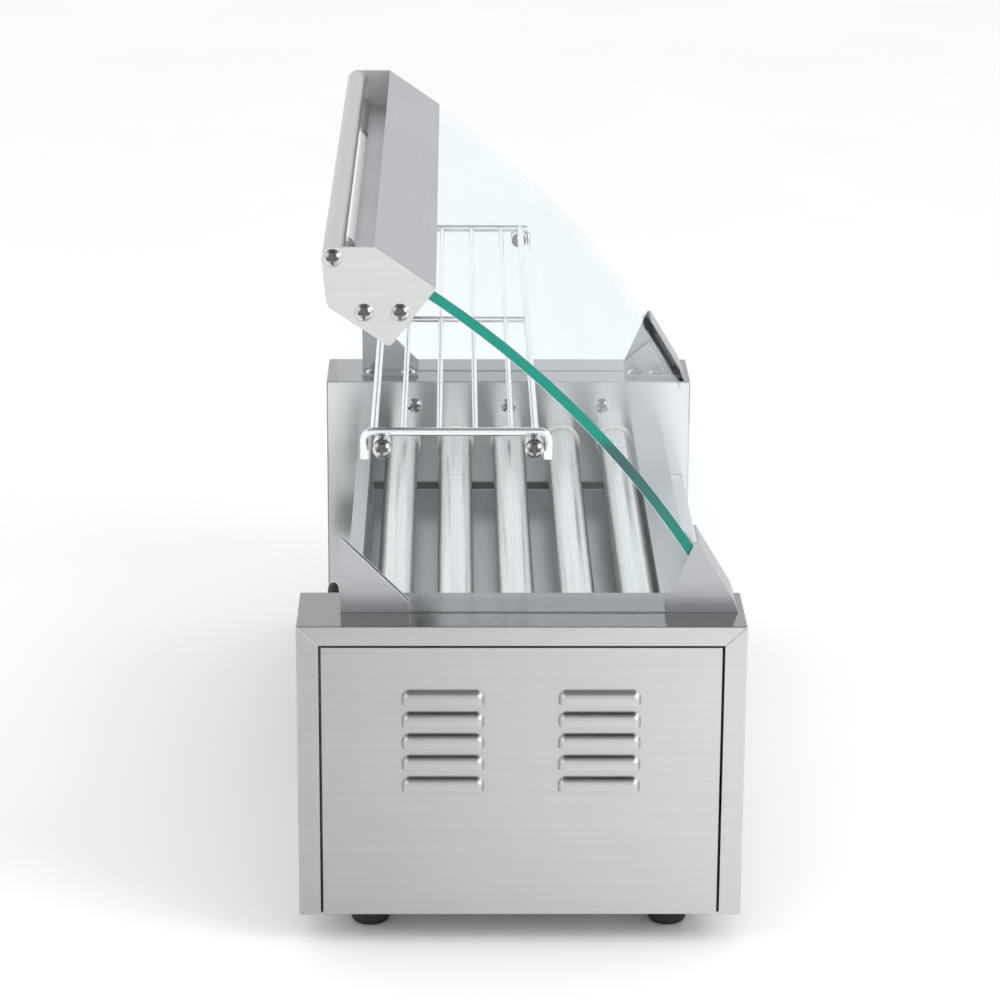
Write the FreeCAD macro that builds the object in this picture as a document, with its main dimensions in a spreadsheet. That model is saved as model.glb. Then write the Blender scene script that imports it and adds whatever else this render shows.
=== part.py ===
import FreeCAD, Part
import math
import os
import re

import Sketcher

# Countertop roller grill, millimetres. X runs along the rollers, the glass front faces -Y,
# the open serving side faces +Y, +Z is up, and the origin is under the middle of the body
# on the table that the rubber feet stand on.

DIMENSIONS = {
    # body
    "body_length": 580,
    "body_depth": 260,
    "deck_height": 200,
    "foot_height": 20,
    "foot_radius": 11.4,
    "foot_rounding": 3,
    "foot_well": 9,
    "foot_inset_x": 39,
    "foot_inset_y": 41,
    "housing_width": 60,
    "gauge": 1,
    "wall_gauge": 1.5,
    "end_flange_side": 12.7,
    "end_flange_top": 11.6,
    "flange_lip": 5,
    "panel_gap": 1.5,
    "panel_recess": 0.8,
    "seam_width": 0.4,
    "front_wall_y": 110,
    "front_wall_top": 165,
    "front_ledge": 21,
    "rear_wall_y": 106,
    "rear_wall_top": 168,
    "rear_ledge": 9,
    "ledge_lip": 7,
    "sheet_foot": 14,
    "panel_edge": 10,
    "panel_foot": 16,
    "panel_foot_half": 60,
    "wall_edge": 12,
    "vent_slot_width": 5,
    "vent_slot_pitch": 15,
    "vent_slot_near": 24,
    "vent_slot_far": 70,
    "rear_slot_x": 150,
    "rear_slot_half": 30,
    "rear_slot_low": 56,
    "rear_slot_height": 4,
    "rear_slot_pitch": 12,
    # louvres
    "louvre_length": 48,
    "louvre_rise": 8.4,
    "louvre_depth": 4.6,
    "louvre_shoulder": 5,
    "louvre_pitch": 13.45,
    "louvre_low_z": 99,
    "louvre_group_y": 45.4,
    # rollers and drive
    "roller_pitch": 38,
    "roller_radius": 11.5,
    "roller_wall": 1.2,
    "roller_axis_z": 154,
    "roller_left_end": 248,
    "roller_right_end": 262,
    "running_clearance": 0.05,
    "bushing_radius": 13.5,
    "bushing_flange": 16,
    "bushing_flange_width": 2,
    "bushing_reach": 4,
    "rod_radius": 4,
    "rod_end": 270,
    "rod_pin_length": 9,
    "rod_support_half": 103,
    "rod_support_rise": 12,
    "rod_support_toe": 12,
    "rod_support_inset": 4,
    "wall_screw_z": 182,
    "wall_screw_pitch": 67,
    "sprocket_x": 250,
    "sprocket_width": 2.8,
    "sprocket_hub": 5,
    "tooth_tip_radius": 15,
    "tooth_root_radius": 12.9,
    "chain_line_radius": 16.75,
    "chain_plate_height": 5.2,
    "chain_pitch": 6.35,
    "chain_plate": 0.7,
    "chain_play": 0.35,
    "chain_pin_radius": 1.1,
    "chain_roller_radius": 1.6,
    "tooth_count": 15,
    "tooth_gap_radius": 2.2,
    "drive_axis_z": 62,
    "motor_radius": 30,
    "motor_length": 46,
    "motor_gear_length": 14,
    "motor_flange": 3,
    "motor_screw_offset": 24,
    "shaft_depth": 20,
    "shaft_radius": 4,
    # drip tray
    "tray_half_length": 221,
    "tray_floor_z": 108.2,
    "tray_rise": 14,
    "tray_grip_y": 126,
    "tray_overlap": 4,
    "tray_face_rise": 7,
    "tray_play": 0.2,
    # cord
    "cord_x": 10,
    "cord_z": 78,
    "cord_radius": 3.2,
    "cord_plane_y": 119,
    "cord_bend": 9,
    "cord_turn_pitch": 7.2,
    "coil_turns": 2.75,
    "coil_half_width": 22,
    "coil_half_height": 12,
    "cord_tail_radius": 22,
    "gland_radius": 8,
    "gland_flange": 2.5,
    "gland_nut": 4,
    "gland_depth": 8,
    "tie_gauge": 1.2,
    "tie_width": 5,
    "plug_length": 34,
    "plug_width": 17,
    "plug_height": 24,
    "plug_neck": 8,
    "plug_blade_length": 17,
    "plug_blade_pitch": 12.6,
    "terminal_length": 60,
    "terminal_depth": 22,
    "terminal_height": 18,
    "terminal_pitch": 13,
    # controls
    "control_z": 66,
    "knob_x": 140,
    "knob_radius": 19,
    "knob_reach": 16,
    "knob_gap": 0.8,
    "knob_skirt": 3,
    "knob_grip_half": 4.5,
    "control_hole": 5,
    "spindle_radius": 3,
    "spindle_length": 28,
    "thermostat_half": 16,
    "thermostat_rise": 14,
    "thermostat_depth": 26,
    "thermostat_plate": 2,
    "switch_x": 34,
    "switch_half": 7.3,
    "switch_rise": 10.8,
    "switch_depth": 22,
    "bezel_edge": 2.4,
    "bezel_gauge": 2,
    "switch_wall": 1,
    "rocker_tilt": 8,
    "rocker_half": 6,
    "rocker_rise": 8,
    "rocker_pin_radius": 1.2,
    "rocker_pivot_depth": 2.5,
    "lamp_x": 86,
    "lamp_bezel": 7,
    "lamp_rim": 1.6,
    # canopy
    "side_glass_x": 262,
    "glass_thickness": 4,
    "glass_seat": 1.2,
    "plate_gauge": 1.2,
    "bracket_screw_x": 250,
    "bracket_foot_x": 243,
    "rear_clip_rise": 46,
    "rear_clip_toe": 6,
    "rear_clip_run": 40.3,
    "rear_clip_screw_y": 97,
    "rear_clip_screw_pitch": 25,
    "front_clip_flange_x": 232,
    "front_clip_rear_y": 84,
    "front_clip_apex_y": 102.6,
    "front_clip_rise": 43,
    "front_clip_knee_y": 123.3,
    "front_clip_knee": 8.4,
    "front_clip_toe_y": 126.3,
    "front_clip_screw_y": 91,
    "front_clip_screw_pitch": 15,
    "glass_pad_width": 12,
    "glass_pad_low": 12,
    "glass_pad_high": 34,
    "side_glass_rear_y": 105,
    "side_glass_top_z": 392,
    "side_glass_corner": 22,
    "front_glass_radius": 549.8,
    "front_glass_centre_y": 359.4,
    "front_glass_centre_z": -62.6,
    "front_glass_thickness": 5.8,
    "front_glass_top_y": 58,
    "pane_gap": 0.3,
    "hood_peak_y": 84.3,
    "hood_peak_z": 417.6,
    "hood_lip_y": 49.4,
    "hood_lip_z": 393.4,
    "hood_floor_z": 393.2,
    "tube_y": 107.6,
    "tube_z": 411.2,
    "tube_radius": 6.2,
    "tube_wall": 1.2,
    "tube_plug": 14,
    "hood_corner": 6.9,
    "hood_heel_y": 111.3,
    "hood_heel_z": 383.5,
    "hood_heel_round": 9,
    "hood_toe_y": 75.5,
    "hood_toe_z": 359.5,
    "hood_toe_round": 2.5,
    "hood_floor_end_y": 98,
    "hood_return": 8,
    "hood_screw_rear_y": 90.1,
    "hood_screw_front_y": 69.7,
    "hood_screw_z": 379.6,
    "lamp_half": 165,
    "light_y": 104.6,
    "light_z": 391,
    "light_radius": 6.4,
    "lamp_pin_radius": 0.9,
    "lamp_pin_offset": 2.5,
    "lamp_pin_length": 5,
    # bun rack
    "rack_z": 306.2,
    "rack_end_x": 254,
    "rack_rear_y": 90.6,
    "rack_front_y": -15,
    "rack_leg": 16,
    "rack_bend": 5,
    "rack_frame_radius": 2.5,
    "rack_edge_radius": 2.2,
    "rack_wire_radius": 1.6,
    "rack_wire_rear_y": 85.2,
    "rack_wire_front_y": -7.6,
    "rack_inner_rear_y": 68.2,
    "rack_wire_pitch": 20.7,
    "rack_screw_rear_y": 80.4,
    "rack_screw_front_y": -7,
    "rack_screw_z": 298.5,
    "rack_sleeve": 11,
    # fasteners
    "screw_head_radius": 5.4,
    "screw_head_rise": 3,
    "screw_shank_radius": 2.5,
    "screw_slot_half": 3.4,
    "screw_slot_width": 1.5,
    "screw_slot_depth": 1.9,
    "screw_play": 0.1,
    "long_screw": 16,
    "short_screw": 6,
    "nut_radius": 4.6,
    "nut_height": 4,
}

PARTS_FOLDER = "parts"
ROLLERS = range(5)
SIDES = {"left": -1, "right": 1}
X_AXIS = FreeCAD.Vector(1, 0, 0)
Y_AXIS = FreeCAD.Vector(0, 1, 0)
Z_AXIS = FreeCAD.Vector(0, 0, 1)

doc = FreeCAD.newDocument("RollerGrill")
sizes = doc.addObject("Spreadsheet::Sheet", "Sizes")
for row, (alias, millimetres) in enumerate(DIMENSIONS.items(), start=1):
    sizes.set("A%d" % row, alias)
    sizes.set("B%d" % row, str(millimetres))
    sizes.setAlias("B%d" % row, alias)
doc.recompute()

exported = []


# ---- the sheet --------------------------------------------------------------------------

def linked(expression):
    """The expression with each dimension named the way the document's expressions name it."""
    return re.sub(r"[a-z_]+", lambda word: "Sizes." + word.group(0) if word.group(0) in DIMENSIONS
                  else word.group(0), str(expression))


def value(expression):
    """The number that an expression of sheet dimensions stands for."""
    return float(sizes.evalExpression(linked(expression)))


def bind(thing, path, expression):
    thing.setExpression(path, linked(expression))


def span(side, near, far):
    """X limits of something from |x| = near to |x| = far on one side, lowest first."""
    if side > 0:
        return near, far
    return "-(%s)" % far, "-(%s)" % near


def roller_y(index):
    return "%d * roller_pitch" % (index - 2)


# ---- primitives and booleans ------------------------------------------------------------

def keep(piece, label):
    """Marks a document object as a finished sub-part under its own name."""
    piece.Label = label
    exported.append(piece)
    return piece


def box(name, low, high):
    """A Part::Box between two corners, each a tuple of three expressions."""
    block = doc.addObject("Part::Box", name)
    for edge, start, end in zip(("Length", "Width", "Height"), low, high):
        bind(block, edge, "(%s) - (%s)" % (end, start))
    for axis, start in zip("xyz", low):
        bind(block, ".Placement.Base.%s" % axis, start)
    return block


def cylinder(name, axis, start, length, radius):
    """A Part::Cylinder along a positive row axis, from a start point given as expressions."""
    rod = doc.addObject("Part::Cylinder", name)
    turned = FreeCAD.Rotation(Z_AXIS, axis)
    rod.Placement = FreeCAD.Placement(FreeCAD.Vector(), turned)
    bind(rod, "Radius", radius)
    bind(rod, "Height", length)
    for letter, place in zip("xyz", start):
        bind(rod, ".Placement.Base.%s" % letter, place)
    return rod


def fuse(name, *pieces):
    joined = doc.addObject("Part::MultiFuse", name)
    joined.Shapes = list(pieces)
    return joined


def cut(name, base, *tools):
    tool = tools[0] if len(tools) == 1 else fuse(name + "_tools", *tools)
    trimmed = doc.addObject("Part::Cut", name)
    trimmed.Base = base
    trimmed.Tool = tool
    return trimmed


def common(name, *pieces):
    shared = doc.addObject("Part::MultiCommon", name)
    shared.Shapes = list(pieces)
    return shared


def mirrored(name, source):
    """The same piece on the other side of the YZ plane."""
    twin = doc.addObject("Part::Mirroring", name)
    twin.Source = source
    twin.Normal = X_AXIS
    return twin


def group(name, pieces):
    """Several separate solids kept together as one sub-part."""
    bundle = doc.addObject("Part::Compound", name)
    bundle.Links = list(pieces)
    return bundle


def copies(name, master, placements):
    """Separate copies of one master piece, set at the given placements."""
    doc.recompute()
    bundle = doc.addObject("Part::Feature", name)
    bundle.Shape = Part.Compound([master.Shape.copy().transformed(spot.toMatrix())
                                  for spot in placements])
    return bundle


# ---- sketches and bodies ----------------------------------------------------------------

def new_body(name):
    return doc.addObject("PartDesign::Body", name)


def new_sketch(body, name, role, offset):
    """An empty sketch on one of the body's own planes, moved along the plane's normal."""
    plane = [feature for feature in body.Origin.OriginFeatures if feature.Role == role][0]
    sketch = body.newObject("Sketcher::SketchObject", name)
    sketch.AttachmentSupport = [(plane, "")]
    sketch.MapMode = "FlatFace"
    bind(sketch, "AttachmentOffset.Base.z", offset)
    return sketch


def hold(sketch, element, point, across, up):
    """Fixes one point of a sketch at a place given as two expressions."""
    for kind, place in (("DistanceX", across), ("DistanceY", up)):
        number = sketch.addConstraint(
            Sketcher.Constraint(kind, -1, 1, element, point, value(place)))
        bind(sketch, "Constraints[%d]" % number, place)


def draw_outline(sketch, corners):
    """A closed outline of straight lines through corners given as pairs of expressions."""
    points = [FreeCAD.Vector(value(across), value(up), 0) for across, up in corners]
    first = sketch.GeometryCount
    for index, point in enumerate(points):
        sketch.addGeometry(Part.LineSegment(point, points[(index + 1) % len(points)]), False)
    for index, (across, up) in enumerate(corners):
        following = first + (index + 1) % len(corners)
        sketch.addConstraint(Sketcher.Constraint("Coincident", first + index, 2, following, 1))
        hold(sketch, first + index, 1, across, up)


def draw_circle(sketch, across, up, radius):
    middle = FreeCAD.Vector(value(across), value(up), 0)
    circle = sketch.addGeometry(Part.Circle(middle, Z_AXIS, value(radius)), False)
    hold(sketch, circle, 3, across, up)
    number = sketch.addConstraint(Sketcher.Constraint("Radius", circle, value(radius)))
    bind(sketch, "Constraints[%d]" % number, radius)


def draw_arc(sketch, centre, radius, start, end):
    """An arc round a fixed centre, anticlockwise between two ends at given heights."""
    middle = FreeCAD.Vector(value(centre[0]), value(centre[1]), 0)
    angles = [math.atan2(value(up) - middle.y, value(across) - middle.x) for across, up in (start, end)]
    circle = Part.Circle(middle, Z_AXIS, value(radius))
    arc = sketch.addGeometry(Part.ArcOfCircle(circle, angles[0], angles[1]), False)
    hold(sketch, arc, 3, *centre)
    number = sketch.addConstraint(Sketcher.Constraint("Radius", arc, value(radius)))
    bind(sketch, "Constraints[%d]" % number, radius)
    for point, (across, up) in ((1, start), (2, end)):
        number = sketch.addConstraint(Sketcher.Constraint("DistanceY", -1, 1, arc, point, value(up)))
        bind(sketch, "Constraints[%d]" % number, up)
    return arc


def join_ends(sketch, one, one_end, two, two_end):
    """A straight line between the end of one element and the end of another."""
    places = [sketch.getPoint(one, one_end), sketch.getPoint(two, two_end)]
    line = sketch.addGeometry(Part.LineSegment(*places), False)
    sketch.addConstraint(Sketcher.Constraint("Coincident", line, 1, one, one_end))
    sketch.addConstraint(Sketcher.Constraint("Coincident", line, 2, two, two_end))


def join_by_corners(sketch, one, two, corners):
    """Straight lines from the far end of one element through corners to the far end of another."""
    turns = [FreeCAD.Vector(value(across), value(up), 0) for across, up in corners]
    places = [sketch.getPoint(one, 2)] + turns + [sketch.getPoint(two, 2)]
    lines = [sketch.addGeometry(Part.LineSegment(start, end), False)
             for start, end in zip(places, places[1:])]
    sketch.addConstraint(Sketcher.Constraint("Coincident", lines[0], 1, one, 2))
    for line, following, (across, up) in zip(lines, lines[1:], corners):
        sketch.addConstraint(Sketcher.Constraint("Coincident", line, 2, following, 1))
        hold(sketch, following, 1, across, up)
    sketch.addConstraint(Sketcher.Constraint("Coincident", lines[-1], 2, two, 2))


def pad_sketch(body, name, sketch, length):
    feature = body.newObject("PartDesign::Pad", name)
    feature.Profile = sketch
    bind(feature, "Length", length)
    return feature


def pad(body, name, role, start, end, *outlines, circles=()):
    """Pads closed outlines and circles from start to end along the plane's normal."""
    sketch = new_sketch(body, name + "_sketch", role, start)
    for corners in outlines:
        draw_outline(sketch, corners)
    for across, up, radius in circles:
        draw_circle(sketch, across, up, radius)
    feature = body.newObject("PartDesign::Pad", name)
    feature.Profile = sketch
    bind(feature, "Length", "(%s) - (%s)" % (end, start))
    return feature


def pocket(body, name, role, middle, depth, outlines=(), circles=()):
    """Cuts outlines and circles symmetrically about a plane, and makes sure that metal went."""
    doc.recompute()
    before = body.Shape.Volume
    sketch = new_sketch(body, name + "_sketch", role, middle)
    for corners in outlines:
        draw_outline(sketch, corners)
    for across, up, radius in circles:
        draw_circle(sketch, across, up, radius)
    feature = body.newObject("PartDesign::Pocket", name)
    feature.Profile = sketch
    feature.SideType = "Symmetric"
    bind(feature, "Length", depth)
    doc.recompute()
    if body.Shape.Volume >= before:
        raise RuntimeError("%s cuts nothing" % name)
    return feature


def round_edges(body, name, radius, wanted):
    """Rounds the body's straight edges that the wanted test picks by their two ends."""
    doc.recompute()
    tip = body.Tip
    picked = ["Edge%d" % number for number, edge in enumerate(tip.Shape.Edges, start=1)
              if len(edge.Vertexes) == 2 and wanted(edge.Vertexes[0].Point, edge.Vertexes[1].Point)]
    if not picked:
        raise RuntimeError("%s finds no edge" % name)
    feature = body.newObject("PartDesign::Fillet", name)
    feature.Base = (tip, picked)
    bind(feature, "Radius", radius)
    return feature


def near(one, other):
    return abs(one - other) < 0.01


def rectangle(low_across, low_up, high_across, high_up):
    return [(low_across, low_up), (high_across, low_up), (high_across, high_up), (low_across, high_up)]


def arch(outer_half, outer_top, inner_half, inner_top, bottom):
    """An upside-down U: outer outline and inner outline given by half widths and tops."""
    return [("-(%s)" % outer_half, bottom), ("-(%s)" % outer_half, outer_top),
            (outer_half, outer_top), (outer_half, bottom),
            (inner_half, bottom), (inner_half, inner_top),
            ("-(%s)" % inner_half, inner_top), ("-(%s)" % inner_half, bottom)]


# ---- driving places worked out from the sheet -------------------------------------------

BODY_END = "body_length / 2"
BODY_SIDE = "body_depth / 2"
DECK_EDGE = "body_length / 2 - housing_width"
FLOOR = "foot_height"
PANEL_SIDE = "body_depth / 2 - end_flange_side"
PANEL_TOP = "deck_height - end_flange_top"
PANEL_FACE = "body_length / 2 - panel_recess"
SCREW_HOLE = "screw_shank_radius + screw_play"


def foot_places():
    return [("%d * (%s - foot_inset_x)" % (along, BODY_END), "%d * (%s - foot_inset_y)" % (across, BODY_SIDE))
            for along in (-1, 1) for across in (-1, 1)]


# ---- body sheet metal -------------------------------------------------------------------

def build_base_pan():
    """The floor of the body: wide under the two housings, narrower between them."""
    body = new_body("BasePan")
    inner_side = "body_depth / 2 - gauge"
    panel_end = "body_length / 2 - panel_recess - gauge"
    front = "-(front_wall_y - gauge)"
    rear = "rear_wall_y - gauge"
    corners = [("-(%s)" % panel_end, "-(%s)" % inner_side), ("-(%s)" % DECK_EDGE, "-(%s)" % inner_side),
               ("-(%s)" % DECK_EDGE, front), (DECK_EDGE, front),
               (DECK_EDGE, "-(%s)" % inner_side), (panel_end, "-(%s)" % inner_side),
               (panel_end, inner_side), (DECK_EDGE, inner_side),
               (DECK_EDGE, rear), ("-(%s)" % DECK_EDGE, rear),
               ("-(%s)" % DECK_EDGE, inner_side), ("-(%s)" % panel_end, inner_side)]
    pad(body, "BaseFloor", "XY_Plane", FLOOR, "foot_height + gauge", corners)
    feet = [(along, across, SCREW_HOLE) for along, across in foot_places()]
    pocket(body, "FootHoles", "XY_Plane", FLOOR, "4 * gauge", circles=feet)
    slots = [rectangle("%d * vent_slot_pitch - vent_slot_width / 2" % step, "%d * vent_slot_near" % across,
                       "%d * vent_slot_pitch + vent_slot_width / 2" % step, "%d * vent_slot_far" % across)
             for step in range(-3, 4) for across in (-1, 1)]
    pocket(body, "VentSlots", "XY_Plane", FLOOR, "4 * gauge", outlines=slots)
    keep(body, "base_pan")


def build_housing_shell(word, side):
    """Folded sheet over one end housing, with a return flange and hem round its end panel."""
    body = new_body("Shell_" + word)
    low, high = span(side, DECK_EDGE, BODY_END)
    pad(body, "Cover_" + word, "YZ_Plane", low, high,
        arch(BODY_SIDE, "deck_height", "body_depth / 2 - gauge", "deck_height - gauge", FLOOR))
    low, high = span(side, "body_length / 2 - gauge", BODY_END)
    pad(body, "Flange_" + word, "YZ_Plane", low, high,
        arch(BODY_SIDE, "deck_height", PANEL_SIDE, PANEL_TOP, FLOOR))
    low, high = span(side, "body_length / 2 - flange_lip", BODY_END)
    pad(body, "Hem_" + word, "YZ_Plane", low, high,
        arch("%s + gauge" % PANEL_SIDE, "%s + gauge" % PANEL_TOP, PANEL_SIDE, PANEL_TOP,
             "foot_height + gauge"))
    half = value(BODY_SIDE)
    top = value("deck_height")
    end = side * value(BODY_END)

    def on_bend(one, two):
        on_side = near(abs(one.y), half) and near(one.y, two.y)
        on_top = near(one.z, top) and near(two.z, top)
        on_end = near(one.x, end) and near(two.x, end)
        return (on_side and on_top) or (on_end and (on_side or on_top))

    round_edges(body, "Bends_" + word, "gauge * 0.8", on_bend)
    seams = []
    for across in (-1, 1):
        outer = "%d * (%s)" % (across, BODY_SIDE)
        inner = "%d * (%s)" % (across, PANEL_SIDE)
        seams.append([(outer, "deck_height + seam_width"), (outer, "deck_height - seam_width"),
                      (inner, "%s - seam_width" % PANEL_TOP), (inner, "%s + seam_width" % PANEL_TOP)])
    pocket(body, "Mitres_" + word, "YZ_Plane", "%d * (%s)" % (side, BODY_END), "gauge * 0.7",
           outlines=seams)
    pocket(body, "DeckHoles_" + word, "XY_Plane", "deck_height", "4 * gauge",
           circles=[(along, across, SCREW_HOLE) for along, across in bracket_screw_places(side)])
    keep(body, word + "_housing_shell")


def louvre_profile(body, name, offset):
    """Section of a louvre in XZ: a round shoulder from the face at x = 0, then upright down to z = 0."""
    sketch = new_sketch(body, name, "XZ_Plane", offset)
    bow = "((louvre_depth ^ 2 + louvre_shoulder ^ 2) / (2 * louvre_depth))"
    knee = "(louvre_rise - louvre_shoulder)"
    centre = ("%s - louvre_depth" % bow, knee)
    inner_top = "%s + sqrt((%s - gauge) ^ 2 - (%s - louvre_depth) ^ 2)" % (knee, bow, bow)
    skin_back = "gauge - louvre_depth"
    outer = draw_arc(sketch, centre, bow, ("0", "louvre_rise"), ("-louvre_depth", knee))
    inner = draw_arc(sketch, centre, "%s - gauge" % bow, ("0", inner_top), (skin_back, knee))
    join_ends(sketch, outer, 1, inner, 1)
    join_by_corners(sketch, outer, inner, [("-louvre_depth", "0"), (skin_back, "0")])
    return sketch


def build_louvre():
    """One pressed louvre standing out towards -X from a face at x = 0, open along its lower edge."""
    body = new_body("Louvre")
    half_straight = "(louvre_length / 2 - louvre_depth)"
    pad_sketch(body, "LouvreMiddle", louvre_profile(body, "LouvreSection", "-" + half_straight),
               "2 * " + half_straight)
    for name, sign in (("Front", 1), ("Rear", -1)):
        sketch = louvre_profile(body, "LouvreSection" + name, "%d * %s" % (sign, half_straight))
        end = body.newObject("PartDesign::Revolution", "Louvre%sEnd" % name)
        end.Profile = sketch
        end.ReferenceAxis = (sketch, ["V_Axis"])
        end.Angle = 90
        end.Reversed = sign < 0
    return body


def louvre_places():
    """The middle of each louvre's lower edge on a panel, as expressions for Y and Z."""
    return [("%d * louvre_group_y" % across, "louvre_low_z + %d * louvre_pitch" % step)
            for across in (-1, 1) for step in range(5)]


def build_end_panel(louvre):
    """Louvred end panel on the left, with turned edges and a foot flange; the right one mirrors it."""
    body = new_body("PanelSheet")
    side_edge = "%s - panel_gap" % PANEL_SIDE
    top_edge = "%s - panel_gap" % PANEL_TOP
    outer = "-(%s)" % PANEL_FACE
    pad(body, "PanelFace", "YZ_Plane", outer, "%s + gauge" % outer,
        rectangle("-(%s)" % side_edge, FLOOR, side_edge, top_edge))
    pad(body, "PanelEdges", "YZ_Plane", outer, "%s + panel_edge" % outer,
        arch(side_edge, top_edge, "%s - gauge" % side_edge, "%s - gauge" % top_edge, "foot_height + gauge"))
    pad(body, "PanelFoot", "YZ_Plane", outer, "%s + panel_foot" % outer,
        rectangle("-panel_foot_half", "foot_height + gauge", "panel_foot_half", "foot_height + 2 * gauge"))
    half_opening = "(louvre_length / 2 - louvre_depth)"
    openings = [rectangle("%s - %s" % (middle, half_opening), low,
                          "%s + %s" % (middle, half_opening), "%s + louvre_rise - 2 * gauge" % low)
                for middle, low in louvre_places()]
    pocket(body, "LouvreOpenings", "YZ_Plane", outer, "3 * gauge", outlines=openings)
    spots = [FreeCAD.Vector(value(outer), value(middle), value(low)) for middle, low in louvre_places()]
    pressed = copies("PanelLouvres", louvre, [FreeCAD.Placement(spot, FreeCAD.Rotation()) for spot in spots])
    panel = fuse("PanelLeft", body, pressed)
    keep(panel, "left_end_panel")
    keep(mirrored("PanelRight", panel), "right_end_panel")


def build_bearing_wall(word, side):
    """Inner wall of a housing: it carries the roller bushings and closes the housing."""
    body = new_body("Wall_" + word)
    half = "body_depth / 2 - gauge"
    top = "deck_height - gauge"
    bottom = "foot_height + gauge"
    low, high = span(side, DECK_EDGE, "%s + wall_gauge" % DECK_EDGE)
    pad(body, "WallFace_" + word, "YZ_Plane", low, high, rectangle("-(%s)" % half, bottom, half, top))
    low, high = span(side, DECK_EDGE, "%s + wall_edge" % DECK_EDGE)
    pad(body, "WallEdges_" + word, "YZ_Plane", low, high,
        arch(half, top, "%s - wall_gauge" % half, "%s - wall_gauge" % top, bottom))
    holes = [(roller_y(index), "roller_axis_z", "bushing_radius + running_clearance") for index in ROLLERS]
    holes += [(across, up, SCREW_HOLE) for across, up in wall_screw_places()]
    if side > 0:
        holes.append(("0", "drive_axis_z", "2 * shaft_radius"))
        holes += [(across, up, SCREW_HOLE) for across, up in motor_screw_places()]
    pocket(body, "WallHoles_" + word, "YZ_Plane", "%d * (%s)" % (side, DECK_EDGE), "6 * wall_gauge",
           circles=holes)
    keep(body, word + "_bearing_wall")


def wall_screw_places():
    return [("%d * wall_screw_pitch" % step, "wall_screw_z") for step in (-1, 0, 1)]


def motor_screw_places():
    return [("%d * motor_screw_offset" % across, "drive_axis_z + %d * motor_screw_offset" % up)
            for across in (-1, 1) for up in (-1, 1)]


def pad_y(body, name, rear, front, *outlines, circles=()):
    """Pads XZ outlines between two Y places; the XZ plane's normal points to -Y."""
    return pad(body, name, "XZ_Plane", "-(%s)" % rear, "-(%s)" % front, *outlines, circles=circles)


def build_control_panel():
    """Recessed front panel with a top ledge, the tray opening and holes for the controls."""
    body = new_body("ControlPanel")
    face = "-front_wall_y"
    bottom = "foot_height + gauge"
    left = "-(%s)" % DECK_EDGE
    pad_y(body, "ControlFace", face + " + gauge", face,
          rectangle(left, bottom, DECK_EDGE, "front_wall_top"))
    pad_y(body, "ControlLedge", face + " + front_ledge", face,
          rectangle(left, "front_wall_top - gauge", DECK_EDGE, "front_wall_top"))
    pad_y(body, "ControlLip", face + " + front_ledge", face + " + front_ledge - gauge",
          rectangle(left, "front_wall_top - ledge_lip", DECK_EDGE, "front_wall_top"))
    pad_y(body, "ControlFoot", face + " + sheet_foot", face,
          rectangle(left, bottom, DECK_EDGE, bottom + " + gauge"))
    tray_side = "tray_half_length + 2 * gauge"
    tray_mouth = rectangle("-(%s)" % tray_side, "tray_floor_z - tray_play", tray_side,
                           "tray_floor_z + tray_rise + 2 * gauge")
    half = "(switch_half + tray_play)"
    rise = "(switch_rise + tray_play)"
    switches = [rectangle("%d * switch_x - %s" % (across, half), "control_z - " + rise,
                          "%d * switch_x + %s" % (across, half), "control_z + " + rise) for across in (-1, 1)]
    holes = [("%d * %s" % (across, place), "control_z", "control_hole")
             for across in (-1, 1) for place in ("knob_x", "lamp_x")]
    pocket(body, "ControlHoles", "XZ_Plane", "front_wall_y", "4 * gauge",
           outlines=[tray_mouth] + switches, circles=holes)
    keep(body, "control_panel")


def build_rear_panel():
    """Plain rear wall with a top ledge, air slots and the hole for the cord gland."""
    body = new_body("RearPanel")
    bottom = "foot_height + gauge"
    left = "-(%s)" % DECK_EDGE
    pad_y(body, "RearFace", "rear_wall_y", "rear_wall_y - gauge",
          rectangle(left, bottom, DECK_EDGE, "rear_wall_top"))
    pad_y(body, "RearLedge", "rear_wall_y", "rear_wall_y - rear_ledge",
          rectangle(left, "rear_wall_top - gauge", DECK_EDGE, "rear_wall_top"))
    pad_y(body, "RearLip", "rear_wall_y - rear_ledge + gauge", "rear_wall_y - rear_ledge",
          rectangle(left, "rear_wall_top - ledge_lip", DECK_EDGE, "rear_wall_top"))
    pad_y(body, "RearFoot", "rear_wall_y", "rear_wall_y - sheet_foot",
          rectangle(left, bottom, DECK_EDGE, bottom + " + gauge"))
    slots = []
    for across in (-1, 1):
        for step in range(4):
            low = "rear_slot_low + %d * rear_slot_pitch" % step
            slots.append(rectangle("%d * rear_slot_x - rear_slot_half" % across, low,
                                   "%d * rear_slot_x + rear_slot_half" % across, low + " + rear_slot_height"))
    pocket(body, "RearHoles", "XZ_Plane", "-rear_wall_y", "4 * gauge", outlines=slots,
           circles=[("cord_x", "cord_z", "gland_radius + screw_play")])
    keep(body, "rear_panel")


def build_tray_shelf():
    """Shelf under the drip tray: the tray slides on it and it roofs the electrical space."""
    body = new_body("TrayShelf")
    top = "tray_floor_z - tray_play"
    pad_y(body, "ShelfSheet", "rear_wall_y - gauge", "-front_wall_y + gauge",
          arch(DECK_EDGE, top, "%s - gauge" % DECK_EDGE, "%s - gauge" % top, top + " - panel_edge"))
    keep(body, "tray_shelf")


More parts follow.
